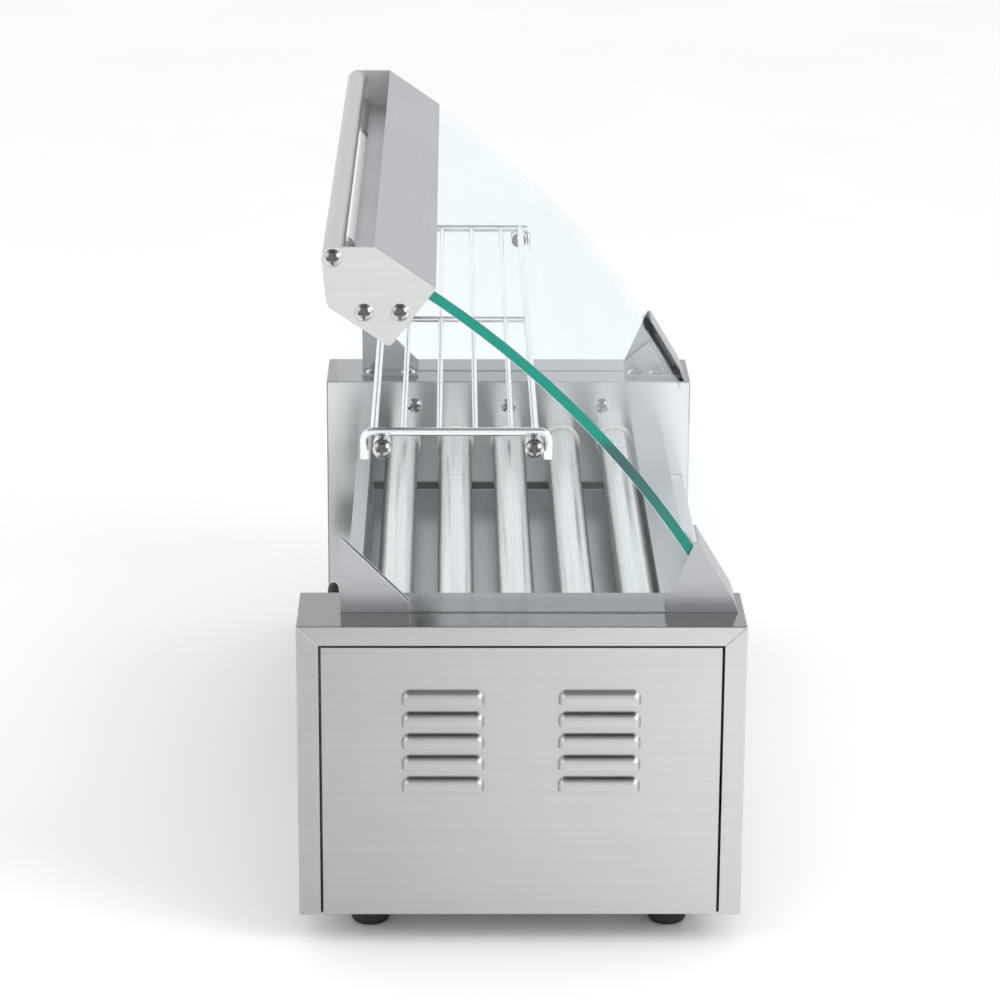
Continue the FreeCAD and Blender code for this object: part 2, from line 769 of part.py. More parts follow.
def build_drip_tray():
    """Shallow pan that slides out through the control panel, with a folded grip along its face."""
    body = new_body("DripTray")
    face = "-front_wall_y - 2 * tray_play"
    rear = "rear_wall_y - rear_ledge"
    side = "tray_half_length"
    pad(body, "TrayFloor", "XY_Plane", "tray_floor_z", "tray_floor_z + gauge",
        rectangle("-" + side, face, side, rear))
    pad(body, "TrayRim", "XY_Plane", "tray_floor_z", "tray_floor_z + tray_rise",
        rectangle("-" + side, face, side, rear),
        rectangle("gauge - " + side, face + " + gauge", side + " - gauge", rear + " - gauge"))
    plate_side = side + " + tray_overlap"
    grip_top = "tray_floor_z + tray_rise + tray_face_rise"
    pad_y(body, "TrayFace", face, face + " - gauge",
          rectangle("-(%s)" % plate_side, "tray_floor_z - tray_overlap", plate_side, grip_top))
    pad_y(body, "TrayGrip", face, "-tray_grip_y",
          rectangle("-(%s)" % plate_side, grip_top + " - gauge", plate_side, grip_top))
    pad_y(body, "TrayGripLip", "gauge - tray_grip_y", "-tray_grip_y",
          rectangle("-(%s)" % plate_side, grip_top + " - ledge_lip", plate_side, grip_top))
    grip = value(grip_top)
    reach = value("tray_grip_y")
    round_edges(body, "TrayGripBend", "gauge * 0.8",
                lambda one, two: near(one.z, grip) and near(two.z, grip)
                and near(one.y, -reach) and near(two.y, -reach))
    keep(body, "drip_tray")


# ---- rollers, bushings, heating rods ----------------------------------------------------

def build_rollers():
    for index in ROLLERS:
        body = new_body("Roller%d" % (index + 1))
        pad(body, "Tube%d" % (index + 1), "YZ_Plane", "-roller_left_end", "roller_right_end",
            circles=[(roller_y(index), "roller_axis_z", "roller_radius"),
                     (roller_y(index), "roller_axis_z", "roller_radius - roller_wall")])
        keep(body, "roller_%d" % (index + 1))


def build_bushings():
    """Flanged plastic bushings, pushed into the walls from inside the housings."""
    bushings = []
    for side in SIDES.values():
        for index in ROLLERS:
            body = new_body("Bushing")
            hole = (roller_y(index), "roller_axis_z", "roller_radius + running_clearance")
            low, high = span(side, "%s + running_clearance" % DECK_EDGE,
                             "%s + wall_gauge + bushing_reach" % DECK_EDGE)
            pad(body, "BushingSleeve", "YZ_Plane", low, high,
                circles=[(roller_y(index), "roller_axis_z", "bushing_radius"), hole])
            low, high = span(side, "%s + wall_gauge" % DECK_EDGE,
                             "%s + wall_gauge + bushing_flange_width" % DECK_EDGE)
            pad(body, "BushingFlange", "YZ_Plane", low, high,
                circles=[(roller_y(index), "roller_axis_z", "bushing_flange"), hole])
            bushings.append(body)
    keep(group("Bushings", bushings), "roller_bushings")


def build_heating_rods():
    """A still heating rod down the middle of each roller, with a terminal pin at each end."""
    rods = []
    for index in ROLLERS:
        across = roller_y(index)
        rod = cylinder("RodBody", X_AXIS, ("-rod_end", across, "roller_axis_z"), "2 * rod_end", "rod_radius")
        pin = cylinder("RodPins", X_AXIS, ("-(rod_end + rod_pin_length)", across, "roller_axis_z"),
                       "2 * (rod_end + rod_pin_length)", "rod_radius * 0.4")
        rods.append(fuse("Rod", rod, pin))
    keep(group("HeatingRods", rods), "heating_rods")


def build_rod_support(word, side):
    """Plate that holds the rod ends, standing off the bearing wall on two legs."""
    body = new_body("RodSupport_" + word)
    half = "rod_support_half"
    low_z = "roller_axis_z - rod_support_rise"
    high_z = "roller_axis_z + rod_support_rise"
    far = "rod_end - rod_support_inset"
    low, high = span(side, far, "%s + wall_gauge" % far)
    pad(body, "SupportPlate_" + word, "YZ_Plane", low, high,
        rectangle("-%s" % half, low_z, half, high_z))
    low, high = span(side, "%s + wall_gauge" % DECK_EDGE, far + " + wall_gauge")
    legs = [rectangle("-%s" % half, low_z, "wall_gauge - %s" % half, high_z),
            rectangle("%s - wall_gauge" % half, low_z, half, high_z)]
    pad(body, "SupportLegs_" + word, "YZ_Plane", low, high, *legs)
    low, high = span(side, "%s + wall_gauge" % DECK_EDGE, "%s + 2 * wall_gauge" % DECK_EDGE)
    toes = [rectangle("-(%s + rod_support_toe)" % half, low_z, "-%s" % half, high_z),
            rectangle(half, low_z, "%s + rod_support_toe" % half, high_z)]
    pad(body, "SupportToes_" + word, "YZ_Plane", low, high, *toes)
    pocket(body, "SupportHoles_" + word, "YZ_Plane", "%d * (%s)" % (side, far), "6 * wall_gauge",
           circles=[(roller_y(index), "roller_axis_z", "rod_radius + running_clearance")
                    for index in ROLLERS])
    return body


# ---- drive ------------------------------------------------------------------------------

def build_sprocket(label, across, up, bore, hub):
    """A toothed disc and hub, made round the X axis and then set in its place."""
    body = new_body("Sprocket_" + label)
    pad(body, "Disc_" + label, "YZ_Plane", "-sprocket_width / 2", "sprocket_width / 2",
        circles=[("0", "0", "tooth_tip_radius"), ("0", "0", bore)])
    pocket(body, "Gap_" + label, "YZ_Plane", "0", "3 * sprocket_width",
           circles=[("tooth_root_radius + tooth_gap_radius", "0", "tooth_gap_radius")])
    gap = body.Tip
    axis = [feature for feature in body.Origin.OriginFeatures if feature.Role == "X_Axis"][0]
    teeth = body.newObject("PartDesign::PolarPattern", "Teeth_" + label)
    teeth.Originals = [gap]
    teeth.Axis = (axis, [""])
    teeth.Angle = 360
    bind(teeth, "Occurrences", "tooth_count")
    body.Tip = teeth
    pad(body, "Hub_" + label, "YZ_Plane", "-sprocket_width / 2", "sprocket_width / 2 + sprocket_hub",
        circles=[("0", "0", hub), ("0", "0", bore)])
    bind(body, ".Placement.Base.x", "sprocket_x")
    bind(body, ".Placement.Base.y", across)
    bind(body, ".Placement.Base.z", up)
    keep(body, label)


def build_drive():
    for index in ROLLERS:
        build_sprocket("sprocket_%d" % (index + 1), roller_y(index), "roller_axis_z",
                       "roller_radius + running_clearance / 2", "tooth_root_radius")
    build_sprocket("drive_sprocket", "0", "drive_axis_z", "shaft_radius + running_clearance / 2",
                   "2 * shaft_radius")
    motor = new_body("Motor")
    wall = DECK_EDGE
    gears = "%s - motor_gear_length" % wall
    face = "%s - motor_flange" % wall
    pad(motor, "MotorCan", "YZ_Plane", "%s - motor_length" % wall, gears,
        circles=[("0", "drive_axis_z", "motor_radius")])
    pad(motor, "MotorGearCase", "YZ_Plane", gears, face,
        circles=[("0", "drive_axis_z", "motor_radius - 2 * gauge")])
    flange = "(motor_screw_offset + screw_head_radius)"
    pad(motor, "MotorFlange", "YZ_Plane", face, wall,
        rectangle("-" + flange, "drive_axis_z - " + flange, flange, "drive_axis_z + " + flange))
    pad(motor, "MotorBoss", "YZ_Plane", wall, "%s + motor_flange" % wall,
        circles=[("0", "drive_axis_z", "2 * (shaft_radius - running_clearance)")])
    pocket(motor, "MotorBore", "YZ_Plane", wall, "2 * (shaft_depth + running_clearance)",
           circles=[("0", "drive_axis_z", "shaft_radius + running_clearance")])
    pocket(motor, "MotorScrewHoles", "YZ_Plane", wall, "3 * motor_flange",
           circles=[(across, up, SCREW_HOLE) for across, up in motor_screw_places()])
    keep(motor, "drive_motor")
    shaft_start = "%s - shaft_depth" % wall
    shaft_end = "sprocket_x + sprocket_width / 2 + sprocket_hub + gauge"
    keep(cylinder("Shaft", X_AXIS, (shaft_start, "0", "drive_axis_z"), "%s - (%s)" % (shaft_end, shaft_start),
                  "shaft_radius"), "motor_shaft")


def chain_stretches():
    """The chain's centre line as pieces: kind, centre or start, heading, and length."""
    radius = value("chain_line_radius")
    wheels = [FreeCAD.Vector(0, value(roller_y(0)), value("roller_axis_z")),
              FreeCAD.Vector(0, value(roller_y(4)), value("roller_axis_z")),
              FreeCAD.Vector(0, 0, value("drive_axis_z"))]
    stretches = []
    for number, middle in enumerate(wheels):
        following = wheels[(number + 1) % len(wheels)]
        heading = (following - middle).normalize()
        arriving = (middle - wheels[number - 1]).normalize()
        stretches.append(("round", middle, arriving, radius * arriving.getAngle(heading)))
        stretches.append(("straight", middle, heading, (following - middle).Length))
    return stretches


def chain_point(stretches, along):
    """A point of the chain's centre line at a distance along the loop."""
    radius = value("chain_line_radius")
    for kind, middle, heading, length in stretches:
        if along <= length:
            break
        along -= length
    # the loop runs clockwise seen from +X, so the outside lies to the left of the heading
    if kind == "round":
        heading = FreeCAD.Rotation(X_AXIS, -math.degrees(along / radius)).multVec(heading)
        along = 0
    return middle + X_AXIS.cross(heading) * radius + heading * along


def link_shape(one, two, outer):
    """One link between two pin places: side plates, with pins if outer or rollers if inner."""
    middle_x = value("sprocket_x")
    half_height = value("chain_plate_height") / 2
    gap = value("sprocket_width / 2 + chain_play")
    thick = value("chain_plate")
    clearance = value("running_clearance")
    inner_face = gap + (thick + clearance if outer else 0)
    heading = (two - one).normalize()
    lift = X_AXIS.cross(heading) * half_height
    pieces = []
    for start_x in (middle_x + inner_face, middle_x - inner_face - thick):
        shift = FreeCAD.Vector(start_x, 0, 0)
        corners = [one + lift + shift, two + lift + shift, two - lift + shift, one - lift + shift]
        near_tip = one - heading * half_height + shift
        far_tip = two + heading * half_height + shift
        edges = [Part.makeLine(corners[0], corners[1]), Part.Arc(corners[1], far_tip, corners[2]).toShape(),
                 Part.makeLine(corners[2], corners[3]), Part.Arc(corners[3], near_tip, corners[0]).toShape()]
        pieces.append(Part.Face(Part.Wire(edges)).extrude(FreeCAD.Vector(thick, 0, 0)))

    def across_link(place, radius, reach):
        start = place + FreeCAD.Vector(middle_x - reach, 0, 0)
        return Part.makeCylinder(radius, 2 * reach, start, X_AXIS)

    pin_radius = value("chain_pin_radius")
    if outer:
        pieces += [across_link(place, pin_radius, inner_face + 1.5 * thick) for place in (one, two)]
    else:
        pieces += [across_link(place, value("chain_roller_radius"), gap) for place in (one, two)]
    link = pieces[0].fuse(pieces[1:]).removeSplitter()
    if not outer:
        for place in (one, two):
            link = link.cut(across_link(place, pin_radius + clearance, gap + 2 * thick))
    return link


def build_chain():
    """Roller chain over the five roller sprockets and round the motor's sprocket.

    Its rollers run just outside the tooth tips: the chain stands still in this model while the
    sprockets turn, so it keeps clear of them."""
    stretches = chain_stretches()
    loop = sum(length for kind, middle, heading, length in stretches)
    count = 2 * round(loop / value("chain_pitch") / 2)
    pins = [chain_point(stretches, loop * number / count) for number in range(count)]
    links = [link_shape(pins[number], pins[(number + 1) % count], number % 2 == 0)
             for number in range(count)]
    chain = doc.addObject("Part::Feature", "Chain")
    chain.Shape = Part.Compound(links)
    keep(chain, "drive_chain")


# ---- canopy -----------------------------------------------------------------------------

GLASS_OUT = "side_glass_x + glass_thickness / 2"
GLASS_IN = "side_glass_x - glass_thickness / 2"
GLASS_FOOT = "deck_height + glass_seat"


def front_glass_y(drop, up):
    """Y of the curved front glass at a height, on a surface lying drop inside the outer one."""
    return ("(front_glass_centre_y - sqrt((front_glass_radius - (%s)) ^ 2"
            " - ((%s) - front_glass_centre_z) ^ 2))" % (drop, up))


def build_front_glass():
    """Curved glass: an arc sheet from the hood's lip down to the deck, as wide as the canopy."""
    body = new_body("FrontGlass")
    centre = ("front_glass_centre_y", "front_glass_centre_z")
    sketch = new_sketch(body, "FrontGlassSection", "YZ_Plane", "-(%s)" % GLASS_OUT)
    top_z = ("(front_glass_centre_z + sqrt(front_glass_radius ^ 2"
             " - (front_glass_centre_y - front_glass_top_y) ^ 2))")
    shrink = "(1 - front_glass_thickness / front_glass_radius)"
    foot_z = "(front_glass_centre_z + (%s + pane_gap - front_glass_centre_z) / %s)" % (GLASS_FOOT, shrink)
    ends = [("front_glass_top_y", top_z), (front_glass_y("0", foot_z), foot_z)]
    inner_ends = [("front_glass_centre_y + (%s - front_glass_centre_y) * %s" % (across, shrink),
                   "front_glass_centre_z + (%s - front_glass_centre_z) * %s" % (up, shrink))
                  for across, up in ends]
    outer = draw_arc(sketch, centre, "front_glass_radius", *ends)
    inner = draw_arc(sketch, centre, "front_glass_radius - front_glass_thickness", *inner_ends)
    join_ends(sketch, outer, 1, inner, 1)
    join_ends(sketch, outer, 2, inner, 2)
    pad_sketch(body, "FrontGlassSheet", sketch, "2 * (%s)" % GLASS_OUT)
    keep(body, "front_glass")


def hood_screw_places():
    return [("hood_screw_rear_y", "hood_screw_z"), ("hood_screw_front_y", "hood_screw_z")]


def rack_screw_places():
    return [("rack_screw_rear_y", "rack_screw_z"), ("rack_screw_front_y", "rack_screw_z")]


def build_side_glass(word, side):
    """Flat pane: its front edge follows the inside of the curved glass."""
    body = new_body("SidePane_" + word)
    low, high = span(side, GLASS_IN, GLASS_OUT)
    pad(body, "PaneSheet_" + word, "YZ_Plane", low, high,
        rectangle("-(%s)" % BODY_SIDE, GLASS_FOOT, "side_glass_rear_y", "side_glass_top_z"))
    rear = value("side_glass_rear_y")
    top = value("side_glass_top_z")
    round_edges(body, "PaneCorner_" + word, "side_glass_corner",
                lambda one, two: all(near(end.y, rear) and near(end.z, top) for end in (one, two)))
    pocket(body, "PaneHoles_" + word, "YZ_Plane", "%d * side_glass_x" % side, "3 * glass_thickness",
           circles=[(across, up, SCREW_HOLE) for across, up in hood_screw_places() + rack_screw_places()])
    bow = cylinder("PaneBow_" + word, X_AXIS,
                   ("-body_length / 2", "front_glass_centre_y", "front_glass_centre_z"),
                   "body_length", "front_glass_radius - front_glass_thickness - pane_gap")
    keep(common("SideGlass_" + word, body, bow), word + "_side_glass")


def build_hood_plate(word, side):
    """End plate of the hood: it carries the tube, the cover and the light, and clamps the pane."""
    body = new_body("HoodPlate_" + word)
    low, high = span(side, GLASS_OUT, "%s + plate_gauge" % GLASS_OUT)
    tube_corner = ("tube_y + hood_corner", "hood_peak_z")
    heel = ("hood_heel_y", "hood_heel_z")
    toe = ("hood_toe_y", "hood_toe_z")
    pad(body, "HoodPlateSheet_" + word, "YZ_Plane", low, high,
        [("hood_peak_y", "hood_peak_z"), tube_corner, heel, toe, ("hood_lip_y", "hood_lip_z")])
    rounds = (("Tube", tube_corner, "hood_corner - screw_play"), ("Heel", heel, "hood_heel_round"),
              ("Toe", toe, "hood_toe_round"))
    for name, (across, up), radius in rounds:
        place = (value(across), value(up))

        def on_corner(one, two):
            return all(near(end.y, place[0]) and near(end.z, place[1]) for end in (one, two))

        round_edges(body, "HoodPlate%s_%s" % (name, word), radius, on_corner)
    holes = hood_screw_places() + [("tube_y", "tube_z")]
    pocket(body, "HoodPlateHoles_" + word, "YZ_Plane", "%d * (%s)" % (side, GLASS_OUT), "6 * plate_gauge",
           circles=[(across, up, SCREW_HOLE) for across, up in holes])
    keep(body, word + "_hood_plate")


def build_hood_cover():
    """Folded cover: a sloping face, a wall down from its peak, and the floor of the trough."""
    body = new_body("HoodCover")
    rise = "((hood_peak_z - hood_lip_z) / (hood_peak_y - hood_lip_y))"
    drop = "(gauge * sqrt(1 + %s ^ 2))" % rise
    end = "hood_floor_end_y"
    wall = "hood_peak_y - gauge"
    reach = "(%s - screw_play)" % GLASS_OUT
    # the lip ends square to the slope, a little way in from its edge
    setback = "gauge * 0.6"
    pad(body, "HoodFold", "YZ_Plane", "-" + reach, reach,
        [("hood_lip_y", "hood_lip_z"), ("hood_peak_y", "hood_peak_z"), ("hood_peak_y", "hood_floor_z"),
         (end, "hood_floor_z"), (end, "hood_floor_z - gauge"), (wall, "hood_floor_z - gauge"),
         (wall, "hood_peak_z - %s - gauge * %s" % (drop, rise)),
         ("hood_lip_y + " + setback, "hood_lip_z + %s * %s - %s" % (setback, rise, drop))])
    inside = "(%s - gauge)" % GLASS_IN
    pad(body, "HoodReturn", "YZ_Plane", "-" + inside, inside,
        rectangle(end + " - gauge", "hood_floor_z - hood_return", end, "hood_floor_z"))
    keep(body, "hood_cover")


def build_handle_tube():
    """Round tube along the open edge, with a threaded plug in each end."""
    body = new_body("HandleTube")
    pad(body, "TubeSkin", "YZ_Plane", "-(%s)" % GLASS_OUT, GLASS_OUT,
        circles=[("tube_y", "tube_z", "tube_radius"), ("tube_y", "tube_z", "tube_radius - tube_wall")])
    for word, side in SIDES.items():
        low, high = span(side, "%s - tube_plug" % GLASS_OUT, GLASS_OUT)
        pad(body, "TubePlug_" + word, "YZ_Plane", low, high,
            circles=[("tube_y", "tube_z", "tube_radius - tube_wall / 2"),
                     ("tube_y", "tube_z", "screw_shank_radius + running_clearance")])
    keep(body, "handle_tube")


def build_light():
    """Tubular lamp with two pins at each end, in two long end holders under the handle tube."""
    lamp = cylinder("LampGlass", X_AXIS, ("-lamp_half", "light_y", "light_z"),
                    "2 * lamp_half", "light_radius")
    pin_places = ["light_z + %d * lamp_pin_offset" % up for up in (-1, 1)]
    pins = [cylinder("LampPin", X_AXIS, ("-(lamp_half + lamp_pin_length)", "light_y", height),
                     "2 * (lamp_half + lamp_pin_length)", "lamp_pin_radius") for height in pin_places]
    keep(fuse("Lamp", lamp, *pins), "lamp_tube")
    holders = []
    for word, side in SIDES.items():
        body = new_body("LampHolder_" + word)
        low, high = span(side, "lamp_half + running_clearance", "%s - pane_gap" % GLASS_IN)
        pad(body, "HolderBody_" + word, "YZ_Plane", low, high,
            circles=[("light_y", "light_z", "light_radius")])
        pad(body, "HolderFoot_" + word, "YZ_Plane", low, high,
            rectangle("hood_floor_end_y", "light_z - light_radius / 2",
                      "light_y", "light_z + light_radius / 3"))
        pocket(body, "HolderSockets_" + word, "YZ_Plane", "%d * lamp_half" % side, "3 * lamp_pin_length",
               circles=[("light_y", height, "lamp_pin_radius + running_clearance") for height in pin_places])
        holders.append(body)
    keep(group("LampHolders", holders), "lamp_holders")


def bracket_screw_places(side):
    """Deck screws of one end: two through the rear clip's foot and two through the front clip's."""
    along = "%d * bracket_screw_x" % side
    return [(along, "rear_clip_screw_y"), (along, "rear_clip_screw_y - rear_clip_screw_pitch"),
            (along, "-front_clip_screw_y"), (along, "-(front_clip_screw_y + front_clip_screw_pitch)")]


def build_rear_clip(word, side):
    """Folded clip at the rear foot of a side pane: plates on both faces, joined by a screwed foot."""
    body = new_body("RearClip_" + word)
    rear = "side_glass_rear_y"
    front = rear + " - rear_clip_run"
    triangle = [(rear, "deck_height"), (rear, "deck_height + rear_clip_rise"),
                (front, "deck_height + rear_clip_toe"), (front, "deck_height")]
    outside = span(side, GLASS_OUT, "%s + plate_gauge" % GLASS_OUT)
    pad(body, "RearClipOut_" + word, "YZ_Plane", *outside, triangle)
    inside = span(side, "%s - plate_gauge" % GLASS_IN, GLASS_IN)
    pad(body, "RearClipIn_" + word, "YZ_Plane", *inside, triangle)
    foot = span(side, "bracket_foot_x", "%s + plate_gauge" % GLASS_OUT)
    pad(body, "RearClipFoot_" + word, "YZ_Plane", *foot,
        rectangle(front, "deck_height", rear, "deck_height + plate_gauge"))
    pocket(body, "RearClipHoles_" + word, "XY_Plane", "deck_height", "4 * plate_gauge",
           circles=[(along, across, SCREW_HOLE) for along, across in bracket_screw_places(side)[:2]])
    return body


FLANGE_SLOPE = "((front_clip_knee_y - front_clip_apex_y) / (front_clip_rise - front_clip_knee))"
FLANGE_STEP = "(plate_gauge * sqrt(1 + %s ^ 2))" % FLANGE_SLOPE


def flange_y(height):
    """Y of the front clip's sloping flange, on its inner face, at a height over the deck."""
    return "(-front_clip_knee_y + (%s - front_clip_knee) * %s + %s)" % (height, FLANGE_SLOPE, FLANGE_STEP)


def build_front_clip(word, side):
    """Folded corner at the front foot: outer plate, sloping flange before the glass, and a foot."""
    body = new_body("FrontClip_" + word)
    apex = ("-front_clip_apex_y", "deck_height + front_clip_rise")
    knee = ("-front_clip_knee_y", "deck_height + front_clip_knee")
    toe = ("-front_clip_toe_y", "deck_height")
    outside = span(side, GLASS_OUT, "%s + plate_gauge" % GLASS_OUT)
    pad(body, "CornerOut_" + word, "YZ_Plane", *outside,
        [("-front_clip_rear_y", "deck_height"), ("-front_clip_rear_y", "deck_height + rear_clip_toe"),
         ("-front_clip_apex_y + 2 * plate_gauge", "deck_height + front_clip_rise"), apex, knee, toe])
    flange = span(side, "front_clip_flange_x", "%s + plate_gauge" % GLASS_OUT)
    pad(body, "CornerFlange_" + word, "YZ_Plane", *flange,
        [apex, knee, toe, ("-front_clip_toe_y + " + FLANGE_STEP, "deck_height"),
         (flange_y("front_clip_knee"), "deck_height + front_clip_knee"),
         (flange_y("front_clip_rise"), "deck_height + front_clip_rise")])
    inside = span(side, "%s - plate_gauge" % GLASS_IN, GLASS_IN)
    inner_rise = "deck_height + front_clip_rise / 2"
    behind_glass = front_glass_y("front_glass_thickness + 2 * plate_gauge", "(%s)" % inner_rise)
    behind_foot = front_glass_y("front_glass_thickness + 2 * plate_gauge", "deck_height")
    pad(body, "CornerIn_" + word, "YZ_Plane", *inside,
        [("-front_clip_rear_y", "deck_height"), ("-front_clip_rear_y", "deck_height + rear_clip_toe"),
         (behind_glass, inner_rise), (behind_foot, "deck_height")])
    foot = span(side, "bracket_foot_x", "%s + plate_gauge" % GLASS_OUT)
    pad(body, "CornerFoot_" + word, "YZ_Plane", *foot,
        rectangle("plate_gauge - front_clip_toe_y", "deck_height", "-front_clip_rear_y",
                  "deck_height + plate_gauge"))
    pocket(body, "CornerHoles_" + word, "XY_Plane", "deck_height", "4 * plate_gauge",
           circles=[(along, across, SCREW_HOLE) for along, across in bracket_screw_places(side)[2:]])
    return body


def build_glass_pad(word, side):
    """Rubber strip between the sloping flange and the front glass."""
    body = new_body("GlassPad_" + word)
    strip = span(side, "front_clip_flange_x + gauge", "front_clip_flange_x + gauge + glass_pad_width")
    corners = []
    for height in ("glass_pad_low", "glass_pad_high"):
        corners.append(("%s + running_clearance" % flange_y(height), "deck_height + " + height))
    for height in ("glass_pad_high", "glass_pad_low"):
        level = "(deck_height + %s)" % height
        corners.append(("%s - pane_gap" % front_glass_y("0", level), level))
    pad(body, "PadStrip_" + word, "YZ_Plane", *strip, corners)
    return body


def build_glass_fittings():
    rear_clips = [build_rear_clip(word, side) for word, side in SIDES.items()]
    keep(group("RearClips", rear_clips), "rear_glass_brackets")
    front_clips = [build_front_clip(word, side) for word, side in SIDES.items()]
    keep(group("FrontClips", front_clips), "front_glass_brackets")
    keep(group("GlassPads", [build_glass_pad(word, side) for word, side in SIDES.items()]), "glass_pads")


# ---- bun rack ---------------------------------------------------------------------------

def rack_frame(name, x):
    """One bent end wire of the rack: a level run with a short leg turned down at each end."""
    level = value("rack_z")
    rear = value("rack_rear_y")
    front = value("rack_front_y")
    foot = level - value("rack_leg")
    bend = value("rack_bend")
    diagonal = bend * (1 - math.sqrt(0.5))

    def at(y, z):
        return FreeCAD.Vector(x, y, z)

    edges = [Part.makeLine(at(rear, foot), at(rear, level - bend)),
             Part.Arc(at(rear, level - bend), at(rear - diagonal, level - diagonal),
                      at(rear - bend, level)).toShape(),
             Part.makeLine(at(rear - bend, level), at(front + bend, level)),
             Part.Arc(at(front + bend, level), at(front + diagonal, level - diagonal),
                      at(front, level - bend)).toShape(),
             Part.makeLine(at(front, level - bend), at(front, foot))]
    section = Part.Wire(Part.makeCircle(value("rack_frame_radius"), at(rear, foot), Z_AXIS))
    frame = doc.addObject("Part::Feature", name)
    frame.Shape = Part.Wire(edges).makePipeShell([section], True, True, 2)
    return frame


def rack_wire(name, across, radius):
    return cylinder(name, X_AXIS, ("-rack_end_x", across, "rack_z"), "2 * rack_end_x", radius)


def build_bun_rack():
    """Welded wire shelf for buns: bent end wires, thick edge wires, thin long wires, a cross wire."""
    end = value("rack_end_x")
    pieces = [rack_frame("RackEnd%d" % number, x) for number, x in enumerate((-end, end))]
    pieces.append(rack_wire("RackRearWire", "rack_wire_rear_y", "rack_edge_radius"))
    pieces.append(rack_wire("RackFrontWire", "rack_wire_front_y", "rack_edge_radius"))
    pieces += [rack_wire("RackWire%d" % step, "rack_inner_rear_y - %d * rack_wire_pitch" % step,
                         "rack_wire_radius") for step in range(4)]
    pieces.append(cylinder("RackCrossWire", Y_AXIS, ("0", "rack_wire_front_y", "rack_z"),
                           "rack_wire_rear_y - rack_wire_front_y",
                           "(rack_wire_radius + rack_edge_radius) / 2"))
    keep(fuse("BunRack", *pieces), "bun_rack")


# ---- fasteners and feet -----------------------------------------------------------------

def build_screw(name, length):
    """Domed cross-head screw: the head stands on the XY plane and the shank points down."""
    dome = "((screw_head_radius ^ 2 + screw_head_rise ^ 2) / (2 * screw_head_rise))"
    ball = doc.addObject("Part::Sphere", name + "Ball")
    bind(ball, "Radius", dome)
    bind(ball, ".Placement.Base.z", "screw_head_rise - " + dome)
    disc = cylinder(name + "Disc", Z_AXIS, ("0", "0", "0"), "screw_head_rise", "screw_head_radius")
    shank = cylinder(name + "Shank", Z_AXIS, ("0", "0", "-" + length), length + " + screw_head_rise / 4",
                     "screw_shank_radius")
    head = common(name + "Head", ball, disc)
    half_width = "screw_slot_width / 2"
    low = "screw_head_rise - screw_slot_depth"
    slots = [box(name + "SlotA", ("-screw_slot_half", "-" + half_width, low),
                 ("screw_slot_half", half_width, "2 * screw_head_rise")),
             box(name + "SlotB", ("-" + half_width, "-screw_slot_half", low),
                 (half_width, "screw_slot_half", "2 * screw_head_rise"))]
    return cut(name, fuse(name + "Blank", head, shank), *slots)


def build_nut():
    """Hexagon nut standing on the XY plane, with a clear bore for the shank."""
    body = new_body("Nut")
    corners = [("nut_radius * cos(%d deg)" % turn, "nut_radius * sin(%d deg)" % turn)
               for turn in range(0, 360, 60)]
    pad(body, "NutHexagon", "XY_Plane", "0", "nut_height", corners,
        circles=[("0", "0", "screw_shank_radius + running_clearance")])
    return body


def facing(x, y, z, direction):
    """Placement that sets a screw's head at a point with its top looking along a direction."""
    place = FreeCAD.Vector(value(x), value(y), value(z))
    return FreeCAD.Placement(place, FreeCAD.Rotation(Z_AXIS, direction))


def build_hood_fasteners(long_screw, nut):
    """Screws through the hood plates into the tube and, with nuts, through the panes."""
    screws = []
    nuts = []
    for side in SIDES.values():
        out = X_AXIS * side
        plate = "%d * (%s + plate_gauge)" % (side, GLASS_OUT)
        screws += [facing(plate, across, up, out)
                   for across, up in hood_screw_places() + [("tube_y", "tube_z")]]
        nuts += [facing("%d * (%s - nut_height)" % (side, GLASS_IN), across, up, out)
                 for across, up in hood_screw_places()]
    keep(group("HoodFasteners", [copies("HoodScrews", long_screw, screws), copies("HoodNuts", nut, nuts)]),
         "hood_screws")


def build_rack_fasteners(long_screw):
    """Screws through the panes into threaded sleeves that the bun rack rests on."""
    screws = []
    pieces = []
    for side in SIDES.values():
        inner = span(side, "%s - rack_sleeve" % GLASS_IN, GLASS_IN)[0]
        for across, up in rack_screw_places():
            screws.append(facing("%d * (%s)" % (side, GLASS_OUT), across, up, X_AXIS * side))
            sleeve = cylinder("SleeveSkin", X_AXIS, (inner, across, up), "rack_sleeve",
                              "rack_z - rack_frame_radius - rack_screw_z - running_clearance")
            bore = cylinder("SleeveBore", X_AXIS, ("%s - gauge" % inner, across, up),
                            "rack_sleeve + 2 * gauge", "screw_shank_radius + running_clearance")
            pieces.append(cut("RackSleeve", sleeve, bore))
    keep(group("RackFasteners", [copies("RackScrews", long_screw, screws)] + pieces), "rack_screws")


def build_frame_fasteners(short_screw, nut):
    """Short screws of the walls, the motor and the glass clips, with nuts under the decks."""
    wall_screws = []
    deck_screws = []
    deck_nuts = []
    for side in SIDES.values():
        wall_screws += [facing("%d * (%s)" % (side, DECK_EDGE), across, up, X_AXIS * -side)
                        for across, up in wall_screw_places()]
        deck_screws += [facing(along, across, "deck_height + plate_gauge", Z_AXIS)
                        for along, across in bracket_screw_places(side)]
        deck_nuts += [facing(along, across, "deck_height - gauge - nut_height", Z_AXIS)
                      for along, across in bracket_screw_places(side)]
    motor_screws = [facing("%s + wall_gauge" % DECK_EDGE, across, up, X_AXIS)
                    for across, up in motor_screw_places()]
    screws = copies("FrameScrews", short_screw, wall_screws + motor_screws + deck_screws)
    keep(group("FrameFasteners", [screws, copies("DeckNuts", nut, deck_nuts)]), "frame_screws")


